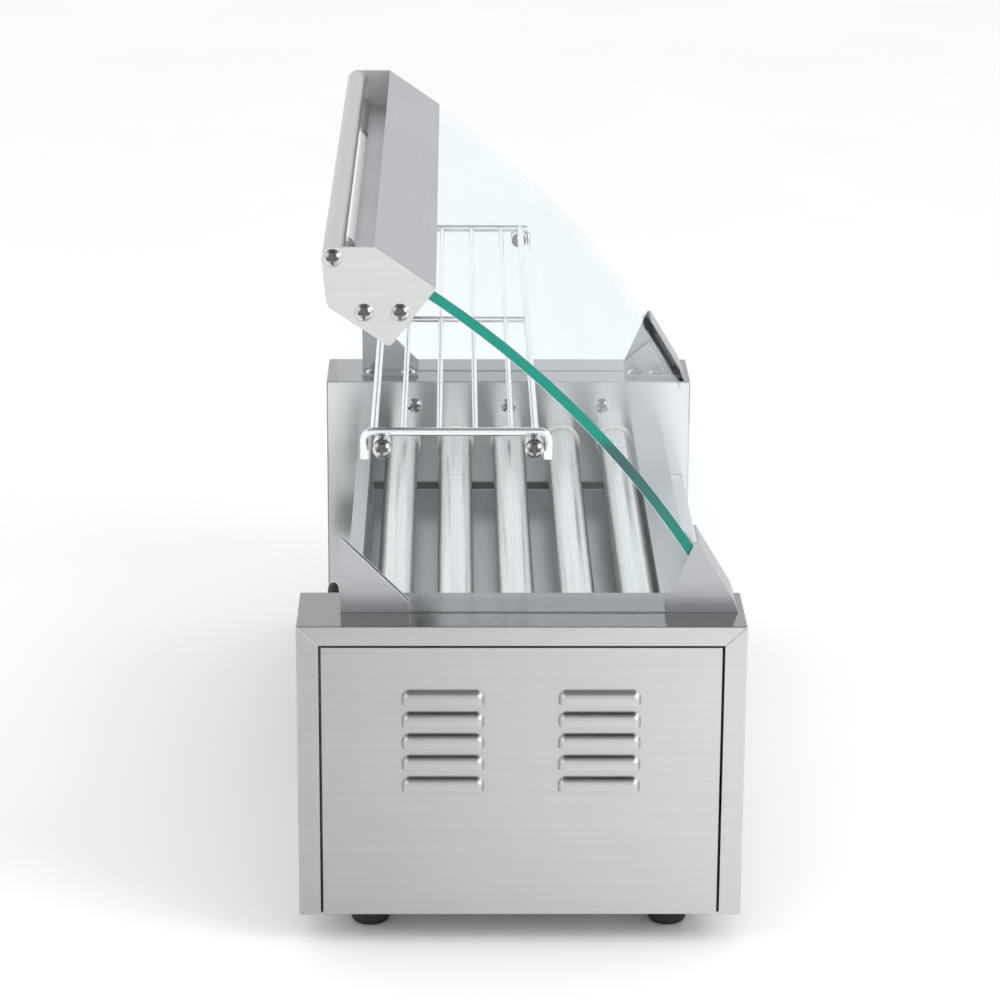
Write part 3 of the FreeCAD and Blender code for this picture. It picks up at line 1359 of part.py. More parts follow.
def build_feet(long_screw, nut):
    """Rounded rubber feet, each held by a sunk screw with its nut inside the base."""
    feet = []
    for along, across in foot_places():
        blank = cylinder("FootBlank", Z_AXIS, (along, across, "0"), "foot_height", "foot_radius")
        rounded = doc.addObject("Part::Fillet", "FootRounded")
        rounded.Base = blank
        doc.recompute()
        rim = [number for number, edge in enumerate(blank.Shape.Edges, start=1)
               if len(edge.Vertexes) == 1 and near(edge.Vertexes[0].Z, 0)][0]
        rounded.Edges = [(rim, value("foot_rounding"), value("foot_rounding"))]
        well = cylinder("FootWell", Z_AXIS, (along, across, "-gauge"), "foot_well + gauge",
                        "screw_head_radius + gauge")
        bore = cylinder("FootBore", Z_AXIS, (along, across, "0"), "foot_height", SCREW_HOLE)
        feet.append(cut("Foot", rounded, well, bore))
    keep(group("Feet", feet), "rubber_feet")
    screws = [facing(along, across, "foot_well", Z_AXIS * -1) for along, across in foot_places()]
    nuts = [facing(along, across, "foot_height + gauge", Z_AXIS) for along, across in foot_places()]
    keep(group("FootFasteners", [copies("FootScrews", long_screw, screws), copies("FootNuts", nut, nuts)]),
         "foot_screws")


def build_fasteners():
    nut = build_nut()
    long_screw = build_screw("LongScrew", "long_screw")
    build_hood_fasteners(long_screw, nut)
    build_rack_fasteners(long_screw)
    build_frame_fasteners(build_screw("ShortScrew", "short_screw"), nut)
    build_feet(long_screw, nut)


# ---- controls and wiring ----------------------------------------------------------------

PANEL_BACK = "(gauge - front_wall_y)"
KNOB_BACK = "(-front_wall_y - knob_gap)"


def build_knob(word, side):
    """Control knob with a skirt and a grip bar, and the thermostat spindle that turns with it."""
    body = new_body("Knob_" + word)
    x = "%d * knob_x" % side
    face = KNOB_BACK + " - knob_reach"
    base = "knob_radius - knob_grip_half"
    pad_y(body, "KnobSkirt_" + word, KNOB_BACK, KNOB_BACK + " - knob_skirt",
          circles=[(x, "control_z", "knob_radius")])
    pad_y(body, "KnobBase_" + word, KNOB_BACK, KNOB_BACK + " - knob_reach / 2",
          circles=[(x, "control_z", base)])
    pad_y(body, "KnobGrip_" + word, KNOB_BACK, face,
          rectangle(x + " - knob_grip_half", "control_z - (%s)" % base,
                    x + " + knob_grip_half", "control_z + " + base))
    pocket(body, "KnobBore_" + word, "XZ_Plane", "-" + KNOB_BACK, "knob_reach",
           circles=[(x, "control_z", "spindle_radius")])
    pocket(body, "KnobMark_" + word, "XZ_Plane", "-(%s)" % face, "gauge",
           outlines=[rectangle(x + " - gauge * 0.6", "control_z + spindle_radius",
                               x + " + gauge * 0.6", "control_z + %s - gauge" % base)])
    keep(body, word + "_knob")
    start = KNOB_BACK + " - knob_reach / 2"
    keep(cylinder("Spindle_" + word, Y_AXIS, (x, start, "control_z"), "spindle_length", "spindle_radius"),
         word + "_knob_spindle")


def build_thermostats():
    """Two capillary thermostats behind the control panel, one for each knob."""
    bodies = []
    front = PANEL_BACK + " + thermostat_plate"
    for word, side in SIDES.items():
        body = new_body("Thermostat_" + word)
        x = "%d * knob_x" % side
        plate = "(thermostat_half + ledge_lip)"
        pad_y(body, "ThermostatPlate_" + word, front, PANEL_BACK,
              rectangle(x + " - " + plate, "control_z - thermostat_rise - gauge",
                        x + " + " + plate, "control_z + thermostat_rise + gauge"))
        pad_y(body, "ThermostatCase_" + word, front + " + thermostat_depth", front,
              rectangle(x + " - thermostat_half", "control_z - thermostat_rise",
                        x + " + thermostat_half", "control_z + thermostat_rise"))
        pocket(body, "ThermostatBore_" + word, "XZ_Plane", "front_wall_y", "2 * (spindle_length - ledge_lip)",
               circles=[(x, "control_z", "spindle_radius + running_clearance")])
        bodies.append(body)
    keep(group("Thermostats", bodies), "thermostats")


def build_switch_case(word, side):
    """A snap-in switch case with a bezel, a well for the rocker and the holes its pivot pins sit in."""
    case = new_body("SwitchCase_" + word)
    x = "%d * switch_x" % side
    face = "-front_wall_y"
    half = "(switch_half + bezel_edge)"
    rise = "(switch_rise + bezel_edge)"
    pad_y(case, "Bezel_" + word, face, face + " - bezel_gauge",
          rectangle(x + " - " + half, "control_z - " + rise, x + " + " + half, "control_z + " + rise))
    pad_y(case, "Case_" + word, face + " + switch_depth", face,
          rectangle(x + " - switch_half", "control_z - switch_rise",
                    x + " + switch_half", "control_z + switch_rise"))
    half = "(switch_half - switch_wall)"
    rise = "(switch_rise - 1.4 * switch_wall)"
    pocket(case, "Well_" + word, "XZ_Plane", "front_wall_y", "switch_depth",
           outlines=[rectangle(x + " - " + half, "control_z - " + rise,
                               x + " + " + half, "control_z + " + rise)])
    pocket(case, "PivotHoles_" + word, "YZ_Plane", x, "3 * switch_half",
           circles=[(face + " + rocker_pivot_depth", "control_z",
                     "rocker_pin_radius + running_clearance")])
    return case


def build_rocker(word, side):
    """A rocker on two pivot pins, drawn round its pivot with -Y outwards and tilted to its off side."""
    rocker = new_body("Rocker_" + word)
    crest = "(rocker_pivot_depth * 2.1)"
    dip = "(rocker_pivot_depth * 1.45)"
    pad(rocker, "RockerBlock_" + word, "YZ_Plane", "-rocker_half", "rocker_half",
        [("rocker_pivot_depth", "-rocker_rise"), ("-" + crest, "-rocker_rise"), ("-" + dip, "0"),
         ("-" + crest, "rocker_rise"), ("rocker_pivot_depth", "rocker_rise"),
         ("2 * rocker_pivot_depth", "0")])
    reach = "(switch_half - switch_wall * 0.2)"
    pad(rocker, "RockerPins_" + word, "YZ_Plane", "-" + reach, reach,
        circles=[("0", "0", "rocker_pin_radius")])
    rocker.Placement = FreeCAD.Placement(FreeCAD.Vector(), FreeCAD.Rotation(X_AXIS, value("rocker_tilt")))
    bind(rocker, ".Placement.Base.x", "%d * switch_x" % side)
    bind(rocker, ".Placement.Base.y", "rocker_pivot_depth - front_wall_y")
    bind(rocker, ".Placement.Base.z", "control_z")
    keep(rocker, word + "_switch_rocker")


def build_indicator_lamps():
    """Two round signal lamps: a rim on the panel, a stem through it and a domed lens."""
    lamps = []
    lens_back = "(-front_wall_y - 2 * gauge)"
    stem_radius = "control_hole - screw_play"
    for side in SIDES.values():
        x = "%d * lamp_x" % side
        stem = cylinder("LampStem", Y_AXIS, (x, lens_back, "control_z"), "switch_depth", stem_radius)
        rim = cylinder("LampRim", Y_AXIS, (x, "-front_wall_y - lamp_rim", "control_z"),
                       "lamp_rim", "lamp_bezel")
        lens = doc.addObject("Part::Cone", "LampLens")
        lens.Placement = FreeCAD.Placement(FreeCAD.Vector(), FreeCAD.Rotation(Z_AXIS, Y_AXIS * -1))
        bind(lens, "Radius1", stem_radius)
        bind(lens, "Radius2", "control_hole * 0.6")
        bind(lens, "Height", "bezel_gauge")
        for letter, place in zip("xyz", (x, lens_back, "control_z")):
            bind(lens, ".Placement.Base.%s" % letter, place)
        lamps.append(fuse("IndicatorLamp", stem, rim, lens))
    keep(group("IndicatorLamps", lamps), "indicator_lamps")


def build_terminal_block():
    """Terminal block on the base behind the gland, with four wells for the supply wires."""
    base = "foot_height + gauge"
    start = "cord_x + 4 * gland_flange + terminal_length / 2"
    front = "rear_wall_y - 2 * terminal_depth"
    block = box("TerminalBase", (start, front, base),
                ("%s + terminal_length" % start, "%s + terminal_depth" % front, base + " + terminal_height"))
    wells = []
    for number in range(4):
        along = "%s + terminal_length / 2 + (%d - 1.5) * terminal_pitch" % (start, number)
        wells.append(cylinder("TerminalWell", Z_AXIS,
                              (along, "%s + terminal_depth / 2" % front, base + " + terminal_height / 2"),
                              "terminal_height", "spindle_radius"))
    keep(cut("TerminalBlock", block, *wells), "terminal_block")


def build_controls():
    for word, side in (("front_heat", -1), ("rear_heat", 1)):
        build_knob(word, side)
    build_thermostats()
    switches = (("power", -1), ("light", 1))
    keep(group("SwitchCases", [build_switch_case(word, side) for word, side in switches]), "switch_cases")
    for word, side in switches:
        build_rocker(word, side)
    build_indicator_lamps()
    build_terminal_block()


def coil_point(turns):
    """A point of the bundled cord's oval spiral, starting below its middle and growing outwards."""
    angle = math.radians(-90 - 360 * turns)
    grown = value("cord_turn_pitch") * turns
    half_width = value("coil_half_width") + grown
    half_height = value("coil_half_height") + grown
    return FreeCAD.Vector(value("cord_x - cord_bend") + half_width * math.cos(angle), value("cord_plane_y"),
                          value("cord_z + coil_half_height") + half_height * math.sin(angle))


def cord_path(tail_end):
    """Points along the cord: straight through the gland, round the coil, and down to the plug."""
    x = value("cord_x")
    z = value("cord_z")
    plane = value("cord_plane_y")
    bend = value("cord_bend")
    path = [FreeCAD.Vector(x, value("rear_wall_y - %s" % depth), z)
            for depth in ("2 * gland_depth", "gland_depth", "-gauge")]
    path.append(FreeCAD.Vector(x, plane - bend, z))
    eased = bend * (1 - math.sqrt(0.5))
    path.append(FreeCAD.Vector(x - eased, plane - eased, z))
    turns = value("coil_turns")
    steps = round(turns * 24)
    path += [coil_point(turns * step / steps) for step in range(steps + 1)]
    last = path[-1]
    tail = value("cord_tail_radius")
    straight = value("cord_bend")
    path += [last + FreeCAD.Vector(tail * (1 - math.cos(angle)), 0, -straight - tail * math.sin(angle))
             for angle in (0, math.pi / 4, math.pi / 2)]
    path += [path[-1] + X_AXIS * (value("cord_radius") * along) for along in tail_end]
    return path


def build_power_cord():
    """Supply cord: out through its gland, bundled flat in the rear recess, ending in a plug."""
    path = cord_path((2, 3, 4, 5))
    centre_line = Part.BSplineCurve()
    centre_line.interpolate(path)
    section = Part.Wire(Part.makeCircle(value("cord_radius"), path[0], Y_AXIS))
    cord = doc.addObject("Part::Feature", "PowerCord")
    cord.Shape = Part.Wire([centre_line.toShape()]).makePipeShell([section], True, False)
    keep(cord, "power_cord")
    build_plug(path[-2])


def build_cord_ties():
    """Two flat ties round the strands at the left and right ends of the coil."""
    wall = value("tie_gauge")
    width = value("tie_width")
    plane = value("cord_plane_y")
    room = value("cord_radius") + wall
    ties = []
    for quarter in (0.25, 0.75):
        strands = [coil_point(quarter).x, coil_point(quarter + 2).x]
        low = FreeCAD.Vector(min(strands) - room, plane - room, coil_point(quarter).z - width / 2)
        length = max(strands) - min(strands) + 2 * room
        inside = Part.makeBox(length, 2 * room, width, low)
        outside = Part.makeBox(length + 2 * wall, 2 * (room + wall), width,
                               low - FreeCAD.Vector(wall, wall, 0))
        tie = doc.addObject("Part::Feature", "CordTie")
        tie.Shape = outside.cut(inside)
        ties.append(tie)
    keep(group("CordTies", ties), "cord_ties")


def build_plug(start):
    """Moulded three-pin plug lying along +X from the end of the cord."""
    length = value("plug_length")
    width = value("plug_width")
    height = value("plug_height")
    neck_length = value("plug_neck")
    cord = value("cord_radius")
    face = start.x + neck_length + length - cord
    grip = Part.makeBox(length, width, height,
                        FreeCAD.Vector(face - length, start.y - width / 2, start.z - height / 2))
    grip = grip.makeFillet(width / 4, grip.Edges)
    neck = Part.makeCone(cord * 1.5, cord * 2.2, neck_length, start, X_AXIS)
    bore = Part.makeCylinder(cord + 0.3, 1.1 * cord, start - X_AXIS * 0.1, X_AXIS)
    blade_length = value("plug_blade_length")
    root = face - 2 * cord / 3
    blades = [Part.makeBox(blade_length, 2 * cord, cord / 2,
                           FreeCAD.Vector(root, start.y - 1.6 * cord, start.z + up - cord / 4))
              for up in (-value("plug_blade_pitch") / 2, value("plug_blade_pitch") / 2)]
    earth = Part.makeCylinder(0.75 * cord, blade_length + cord,
                              FreeCAD.Vector(root, start.y + 1.4 * cord, start.z), X_AXIS)
    plug = doc.addObject("Part::Feature", "PowerPlug")
    plug.Shape = grip.fuse([neck, earth] + blades).cut(bore)
    keep(plug, "power_plug")


def build_cord_gland():
    """Strain relief bushing in the rear panel, with a flange outside and a nut inside."""
    wall = "rear_wall_y"
    rim = "gland_radius + gland_flange"
    sleeve = cylinder("GlandSleeve", Y_AXIS, ("cord_x", wall + " - gland_depth", "cord_z"),
                      "gland_depth + gland_flange", "gland_radius")
    flange = cylinder("GlandFlange", Y_AXIS, ("cord_x", wall, "cord_z"), "gland_flange", rim)
    nut = cylinder("GlandNut", Y_AXIS, ("cord_x", wall + " - gauge - gland_nut", "cord_z"), "gland_nut", rim)
    bore = cylinder("GlandBore", Y_AXIS, ("cord_x", wall + " - 2 * gland_depth", "cord_z"), "4 * gland_depth",
                    "cord_radius + pane_gap")
    keep(cut("CordGland", fuse("GlandSolid", sleeve, flange, nut), bore), "cord_gland")


def check_and_write():
    """Stops on any failed object, then writes every sub-part to its own file."""
    doc.recompute()
    for thing in doc.Objects:
        if "Invalid" in thing.State or "Error" in thing.State:
            raise RuntimeError("%s (%s) failed: %s" % (thing.Name, thing.Label, thing.State))
    os.makedirs(PARTS_FOLDER, exist_ok=True)
    for piece in exported:
        if piece.Shape.isNull() or not piece.Shape.isValid() or not piece.Shape.Solids:
            raise RuntimeError("%s has no valid solid" % piece.Label)
    for piece in exported:
        piece.Shape.exportStep(os.path.join(PARTS_FOLDER, piece.Label + ".step"))
    print("%d sub-parts written" % len(exported))


build_base_pan()
for word, side in SIDES.items():
    build_housing_shell(word, side)
    build_bearing_wall(word, side)
    build_side_glass(word, side)
    build_hood_plate(word, side)
build_end_panel(build_louvre())
build_control_panel()
build_rear_panel()
build_tray_shelf()
build_drip_tray()
build_rollers()
build_bushings()
build_heating_rods()
keep(group("RodSupports", [build_rod_support(word, side) for word, side in SIDES.items()]), "rod_supports")
build_drive()
build_chain()
build_front_glass()
build_hood_cover()
build_handle_tube()
build_light()
build_glass_fittings()
build_bun_rack()
build_fasteners()
build_controls()
build_power_cord()
build_cord_ties()
build_cord_gland()
check_and_write()
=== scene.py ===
import math

import bmesh
import bpy
from mathutils import Matrix, Vector


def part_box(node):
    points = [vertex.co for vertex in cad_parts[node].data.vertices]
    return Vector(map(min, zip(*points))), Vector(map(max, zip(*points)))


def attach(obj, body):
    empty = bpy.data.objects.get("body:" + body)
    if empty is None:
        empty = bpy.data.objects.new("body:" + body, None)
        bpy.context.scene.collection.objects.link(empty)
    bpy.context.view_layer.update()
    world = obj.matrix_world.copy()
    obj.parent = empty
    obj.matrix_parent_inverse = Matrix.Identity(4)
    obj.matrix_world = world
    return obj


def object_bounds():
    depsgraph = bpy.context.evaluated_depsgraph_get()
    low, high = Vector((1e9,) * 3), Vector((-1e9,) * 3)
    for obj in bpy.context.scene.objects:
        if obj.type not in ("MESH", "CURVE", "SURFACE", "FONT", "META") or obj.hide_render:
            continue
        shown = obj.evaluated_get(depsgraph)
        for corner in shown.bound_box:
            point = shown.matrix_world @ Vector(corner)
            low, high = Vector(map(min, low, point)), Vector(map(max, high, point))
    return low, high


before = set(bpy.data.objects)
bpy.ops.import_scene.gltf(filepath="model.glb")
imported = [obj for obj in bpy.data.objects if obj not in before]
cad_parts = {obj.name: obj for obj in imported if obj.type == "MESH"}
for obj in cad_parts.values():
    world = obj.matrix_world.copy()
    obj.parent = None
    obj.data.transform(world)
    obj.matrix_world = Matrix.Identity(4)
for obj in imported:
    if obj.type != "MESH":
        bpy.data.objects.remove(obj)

# Looks for the countertop roller grill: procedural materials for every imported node, small
# visual pieces the frame doesn't hold (dial marks, switch symbols, pointer paint), and a plain
# pale studio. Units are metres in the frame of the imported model.

MM = 0.001
CAD_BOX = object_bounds()
ROOT = "grill_frame"
EDGE_GAIN = 9.0


# ---- shader graphs ----------------------------------------------------------------------

# Places of the sockets of a Mix node in colour mode, whose names are not unique.
MIX_SHARE = 0
MIX_ONE = 6
MIX_TWO = 7
MIX_COLOUR = 2


class Graph:
    """The node tree of a material or world, with short calls for the steps that looks share."""

    def __init__(self, name, owners=bpy.data.materials):
        self.owner = owners.new(name)
        self.owner.use_nodes = True
        self.tree = self.owner.node_tree
        self.tree.nodes.clear()

    def feed(self, socket, source):
        """Links a socket to the output of another node, or sets its value."""
        if isinstance(source, bpy.types.NodeSocket):
            self.tree.links.new(source, socket)
        else:
            socket.default_value = source

    def node(self, kind, feeds=None, **settings):
        """Adds a node with its settings, and feeds its inputs by name or place."""
        made = self.tree.nodes.new("ShaderNode" + kind)
        for key, setting in settings.items():
            setattr(made, key, setting)
        for key, source in (feeds or {}).items():
            self.feed(made.inputs[key], source)
        return made

    def place(self):
        """Position in the frame, which stays with the piece when it moves."""
        return self.node("TexCoord").outputs["Object"]

    def stretched(self, stretch):
        """That position scaled along each axis: a large scale makes a pattern narrow there."""
        return self.node("Mapping", {"Vector": self.place(), "Scale": stretch}).outputs["Vector"]

    def noise(self, vector, scale, detail=3.0, roughness=0.55):
        """Cloudy noise about 0.5."""
        feeds = {"Vector": vector, "Scale": scale, "Detail": detail, "Roughness": roughness}
        return self.node("TexNoise", feeds).outputs["Fac"]

    def calc(self, operation, one, two=0.0, clamp=False):
        return self.node("Math", {0: one, 1: two}, operation=operation, use_clamp=clamp).outputs[0]

    def remap(self, value, low, high, new_low, new_high):
        """The range low to high spread over new_low to new_high, held at both ends."""
        feeds = {"Value": value, "From Min": low, "From Max": high, "To Min": new_low, "To Max": new_high}
        return self.node("MapRange", feeds).outputs["Result"]

    def blend(self, share, one, two, mode="MIX"):
        """Colour two laid over colour one by its share."""
        mixed = self.node("Mix", data_type="RGBA", blend_type=mode)
        self.feed(mixed.inputs[MIX_SHARE], share)
        self.feed(mixed.inputs[MIX_ONE], one)
        self.feed(mixed.inputs[MIX_TWO], two)
        return mixed.outputs[MIX_COLOUR]

    def between(self, share, one, two):
        """A value that goes from one to two by its share."""
        return self.node("Mix", {0: share, 2: one, 3: two}, data_type="FLOAT").outputs[0]

    def axis(self, name):
        """One component of the position in the frame."""
        return self.node("SeparateXYZ", {0: self.place()}).outputs[name]

    def layer(self, share, under, over):
        """One shader over another, by its share."""
        return self.node("MixShader", {0: share, 1: under, 2: over}).outputs[0]

    def facing(self, name):
        """One component of the true face normal."""
        normal = self.node("NewGeometry").outputs["True Normal"]
        return self.node("SeparateXYZ", {0: normal}).outputs[name]

    def rounded(self, radius):
        """Normals as if every sharp edge were rounded to this radius."""
        return self.node("Bevel", {"Radius": radius}, samples=4).outputs[0]

    def edges(self, radius):
        """Share of edge marks, for wear, chips and the painted edge highlight on steel: 1 on sharp edges, 0
        on flat faces.
        """
        normal = self.node("NewGeometry").outputs["Normal"]
        pair = self.node("VectorMath", {0: self.rounded(radius), 1: normal}, operation="DOT_PRODUCT")
        turned = self.calc("SUBTRACT", 1.0, pair.outputs["Value"])
        return self.calc("MULTIPLY", turned, EDGE_GAIN, clamp=True)

    def bump(self, height, distance, strength, radius):
        """Relief of the given height on edges rounded to the given radius."""
        feeds = {"Height": height, "Distance": distance, "Strength": strength, "Normal": self.rounded(radius)}
        return self.node("Bump", feeds).outputs[0]

    def shader(self, **feeds):
        """A principled shader; its inputs are named with _ for each space."""
        names = {key: key.replace("_", " ") for key in feeds}
        return self.node("BsdfPrincipled", {names[key]: feed for key, feed in feeds.items()}).outputs[0]

    def finish(self, shader, output="OutputMaterial"):
        """Ends the graph with this shader and returns the material or world."""
        self.node(output, {"Surface": shader})
        return self.owner


def grey(level):
    return (level, level, level, 1.0)


def shade(colour, factor):
    """The colour made lighter or darker, and opaque."""
    return tuple(min(1.0, part * factor) for part in colour[:3]) + (1.0,)


# Stretches that draw a pattern out into lines along one axis.
ALONG = {"X": (1.0, 40.0, 40.0), "Y": (40.0, 1.0, 40.0)}

# How strongly light is painted on the end faces, lighter at the front and darker at the rear, and how dark
# the painted shade makes the polished decks.
END_PAINTED_LIGHT = 0.17
DECK_PAINTED_SHADE = 0.5


def lit_from_front(graph, base):
    """Painted light on the end faces: lighter towards the front of the grill, darker towards its rear."""
    half_depth = CAD_BOX[1].y
    on_end = graph.remap(graph.calc("ABSOLUTE", graph.facing("X")), 0.7, 0.95, 0.0, END_PAINTED_LIGHT)
    slope = graph.calc("DIVIDE", graph.axis("Y"), half_depth)
    tone = graph.calc("SUBTRACT", 1.0, graph.calc("MULTIPLY", on_end, slope))
    return graph.blend(1.0, base, tone, "MULTIPLY")


def brushed_steel(name, colour, roughness, along, deck_roughness=None, painted_end_light=False):
    """Satin sheet with grain along one axis, wiping marks, and edges made lighter, partly as rub wear and
    partly as a painted highlight.

    With a deck roughness its level faces are polished and darkened with painted shade."""
    graph = Graph(name)
    lines = graph.stretched(ALONG[along])
    grain = graph.noise(lines, 60.0, 4.0, 0.6)
    streaks = graph.noise(lines, 9.0, 2.0)
    clouds = graph.noise(graph.place(), 9.0, 3.0)
    tone = graph.remap(graph.calc("ADD", grain, streaks), 0.7, 1.3, 0.965, 1.03)
    cloudy = graph.remap(clouds, 0.35, 0.65, 0.98, 1.02)
    base = graph.blend(1.0, colour, graph.calc("MULTIPLY", tone, cloudy), "MULTIPLY")
    # Painted light: end faces lighter towards the front and darker towards the rear.
    if painted_end_light:
        base = lit_from_front(graph, base)
    edge_share = graph.edges(0.5 * MM)
    # Lighter sharp edges: rub wear and a painted edge highlight.
    base = graph.blend(graph.calc("MULTIPLY", edge_share, 0.5), base, shade(colour, 1.35))
    rough = graph.calc("ADD", graph.remap(grain, 0.3, 0.7, -0.03, 0.03), roughness)
    if deck_roughness is not None:
        top = graph.remap(graph.facing("Z"), 0.7, 0.95, 0.0, 1.0)
        polished = graph.calc("ADD", graph.remap(grain, 0.3, 0.7, -0.02, 0.04), deck_roughness)
        rough = graph.between(top, rough, polished)
        # Painted shade: the level faces are darkened in colour.
        base = graph.blend(top, base, shade(colour, DECK_PAINTED_SHADE))
    rough = graph.calc("ADD", rough, graph.remap(clouds, 0.4, 0.7, 0.0, 0.05), clamp=True)
    normal = graph.bump(grain, 0.01 * MM, 0.2, radius=0.5 * MM)
    return graph.finish(graph.shader(Base_Color=base, Metallic=1.0, Roughness=rough, Normal=normal))


def plated(name, colour, roughness):
    """Bright plating: nearly even, with faint haze and fine scratches."""
    graph = Graph(name)
    haze = graph.noise(graph.place(), 60.0, 4.0)
    scratches = graph.noise(graph.stretched((30.0, 300.0, 120.0)), 5.0, 5.0, 0.7)
    base = graph.blend(graph.remap(haze, 0.35, 0.7, 0.0, 0.5), colour, shade(colour, 0.86))
    rough = graph.calc("ADD", graph.remap(scratches, 0.45, 0.7, 0.0, 0.12), roughness)
    normal = graph.bump(graph.calc("ADD", haze, scratches), 0.02 * MM, 0.3, radius=0.25 * MM)
    return graph.finish(graph.shader(Base_Color=base, Metallic=1.0, Roughness=rough, Normal=normal))


def bright_screws():
    """Zinc-plated heads with a painted reflection: bright round the rim, dark where the dome looks back at
    the viewer.
    """
    graph = Graph("ZincScrews")
    across = graph.node("LayerWeight", {"Blend": 0.5}).outputs["Facing"]
    haze = graph.noise(graph.place(), 90.0, 4.0)
    painted_reflection = graph.calc("ADD", across, graph.remap(haze, 0.3, 0.7, -0.04, 0.04))
    turned = graph.remap(painted_reflection, 0.06, 0.34, 0.0, 1.0)
    # Painted reflection: dark where the head faces the viewer, bright round the rim.
    base = graph.blend(turned, (0.13, 0.13, 0.135, 1.0), (0.74, 0.74, 0.73, 1.0))
    rough = graph.remap(haze, 0.3, 0.7, 0.12, 0.2)
    normal = graph.bump(haze, 0.02 * MM, 0.3, radius=0.2 * MM)
    return graph.finish(graph.shader(Base_Color=base, Metallic=1.0, Roughness=rough, Normal=normal))


def roller_steel():
    """Ground stainless tube: fine rings round it, faint lengthwise drag marks, browned at its ends."""
    graph = Graph("RollerSteel")
    rings = graph.noise(graph.stretched((900.0, 1.0, 1.0)), 2.0, 2.0, 0.5)
    drag = graph.noise(graph.stretched((2.0, 260.0, 260.0)), 2.0, 4.0)
    steel = (0.80, 0.80, 0.785, 1.0)
    tone = graph.remap(graph.calc("ADD", rings, drag), 0.7, 1.3, 0.88, 1.08)
    base = graph.blend(1.0, steel, tone, "MULTIPLY")
    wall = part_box("right_bearing_wall")[0].x
    off_centre = graph.calc("ABSOLUTE", graph.axis("X"))
    browned = graph.remap(off_centre, wall - 30.0 * MM, wall + 2.0 * MM, 0.0, 0.35)
    base = graph.blend(browned, base, (0.60, 0.54, 0.44, 1.0))
    rough = graph.remap(graph.calc("ADD", rings, drag), 0.7, 1.3, 0.18, 0.30)
    normal = graph.bump(drag, 0.02 * MM, 0.12, radius=0.3 * MM)
    return graph.finish(graph.shader(Base_Color=base, Metallic=1.0, Roughness=rough, Normal=normal))


def plastic(name, colour, roughness, coat=0.0):
    """Moulded plastic with a fine spark-eroded texture, slightly paler at its edges."""
    graph = Graph(name)
    texture = graph.noise(graph.place(), 1800.0, 2.0)
    clouds = graph.noise(graph.place(), 35.0, 3.0)
    edge_share = graph.calc("MULTIPLY", graph.edges(0.4 * MM), 0.35)
    tone = graph.remap(graph.calc("ADD", texture, clouds), 0.7, 1.3, 0.92, 1.08)
    base = graph.blend(1.0, colour, tone, "MULTIPLY")
    worn = tuple(0.6 * part + 0.12 for part in colour[:3]) + (1.0,)
    base = graph.blend(edge_share, base, worn)
    rough = graph.calc("ADD", graph.remap(clouds, 0.3, 0.7, -0.06, 0.08), roughness, clamp=True)
    normal = graph.bump(texture, 0.05 * MM, 0.5, radius=0.4 * MM)
    return graph.finish(graph.shader(Base_Color=base, Roughness=rough, Normal=normal, Coat_Weight=coat,
                                     Coat_Roughness=0.12))


DUST_LIFT = 0.056


def rubber(name, level):
    """Matt rubber: dusty in patches, with a soft pebbled surface."""
    graph = Graph(name)
    pebbles = graph.noise(graph.place(), 900.0, 3.0)
    dust = graph.remap(graph.noise(graph.place(), 45.0, 4.0), 0.45, 0.75, 0.0, 0.35)
    base = graph.blend(dust, grey(level), grey(level + DUST_LIFT))
    rough = graph.remap(pebbles, 0.3, 0.7, 0.55, 0.78)
    normal = graph.bump(pebbles, 0.08 * MM, 0.5, radius=0.5 * MM)
    return graph.finish(graph.shader(Base_Color=base, Roughness=rough, Normal=normal))


def translucent_plastic(name, colour, glow):
    """Tinted lens plastic, with the faint depth of a lit moulding."""
    graph = Graph(name)
    fresnel = graph.node("LayerWeight", {"Blend": 0.35}).outputs["Facing"]
    swirl = graph.noise(graph.place(), 300.0, 3.0)
    depth = graph.blend(fresnel, shade(colour, 1.15), shade(colour, 0.45))
    base = graph.blend(graph.remap(swirl, 0.3, 0.7, 0.0, 0.2), depth, shade(colour, 0.7))
    normal = graph.bump(swirl, 0.03 * MM, 0.3, radius=0.3 * MM)
    return graph.finish(graph.shader(Base_Color=base, Roughness=0.22, Normal=normal, Coat_Weight=0.6,
                                     Coat_Roughness=0.08, Emission_Color=colour, Emission_Strength=glow))


def outer(graph, share):
    """The share where a surface is seen from outside the glass, and 0 where a ray leaves it."""
    inside = graph.node("NewGeometry").outputs["Backfacing"]
    return graph.calc("MULTIPLY", share, graph.calc("SUBTRACT", 1.0, inside))


GLASS_IOR = 1.5
REFLECTED_SHARE = 0.65


def clear_sheet(graph, tint, haze_colour):
    """Thin clear glass: light passes straight through, tinted, with Fresnel reflections."""
    smears = graph.noise(graph.stretched((6.0, 6.0, 3.0)), 2.0, 4.0, 0.6)
    rough = graph.remap(smears, 0.45, 0.8, 0.0, 0.05)
    through = graph.node("BsdfTransparent", {"Color": tint}).outputs[0]
    shine = graph.node("BsdfGlossy", {"Color": (0.90, 0.95, 1.0, 1.0), "Roughness": rough}).outputs[0]
    dust = graph.node("BsdfDiffuse", {"Color": haze_colour}).outputs[0]
    hazy = graph.remap(smears, 0.35, 0.75, 0.006, 0.03)
    body = graph.layer(hazy, through, dust)
    fresnel = graph.node("Fresnel", {"IOR": GLASS_IOR}).outputs[0]
    reflected = outer(graph, graph.calc("MULTIPLY", fresnel, REFLECTED_SHARE))
    glass = graph.layer(reflected, body, shine)
    shadow = graph.node("LightPath").outputs["Is Shadow Ray"]
    return graph.layer(shadow, glass, through)


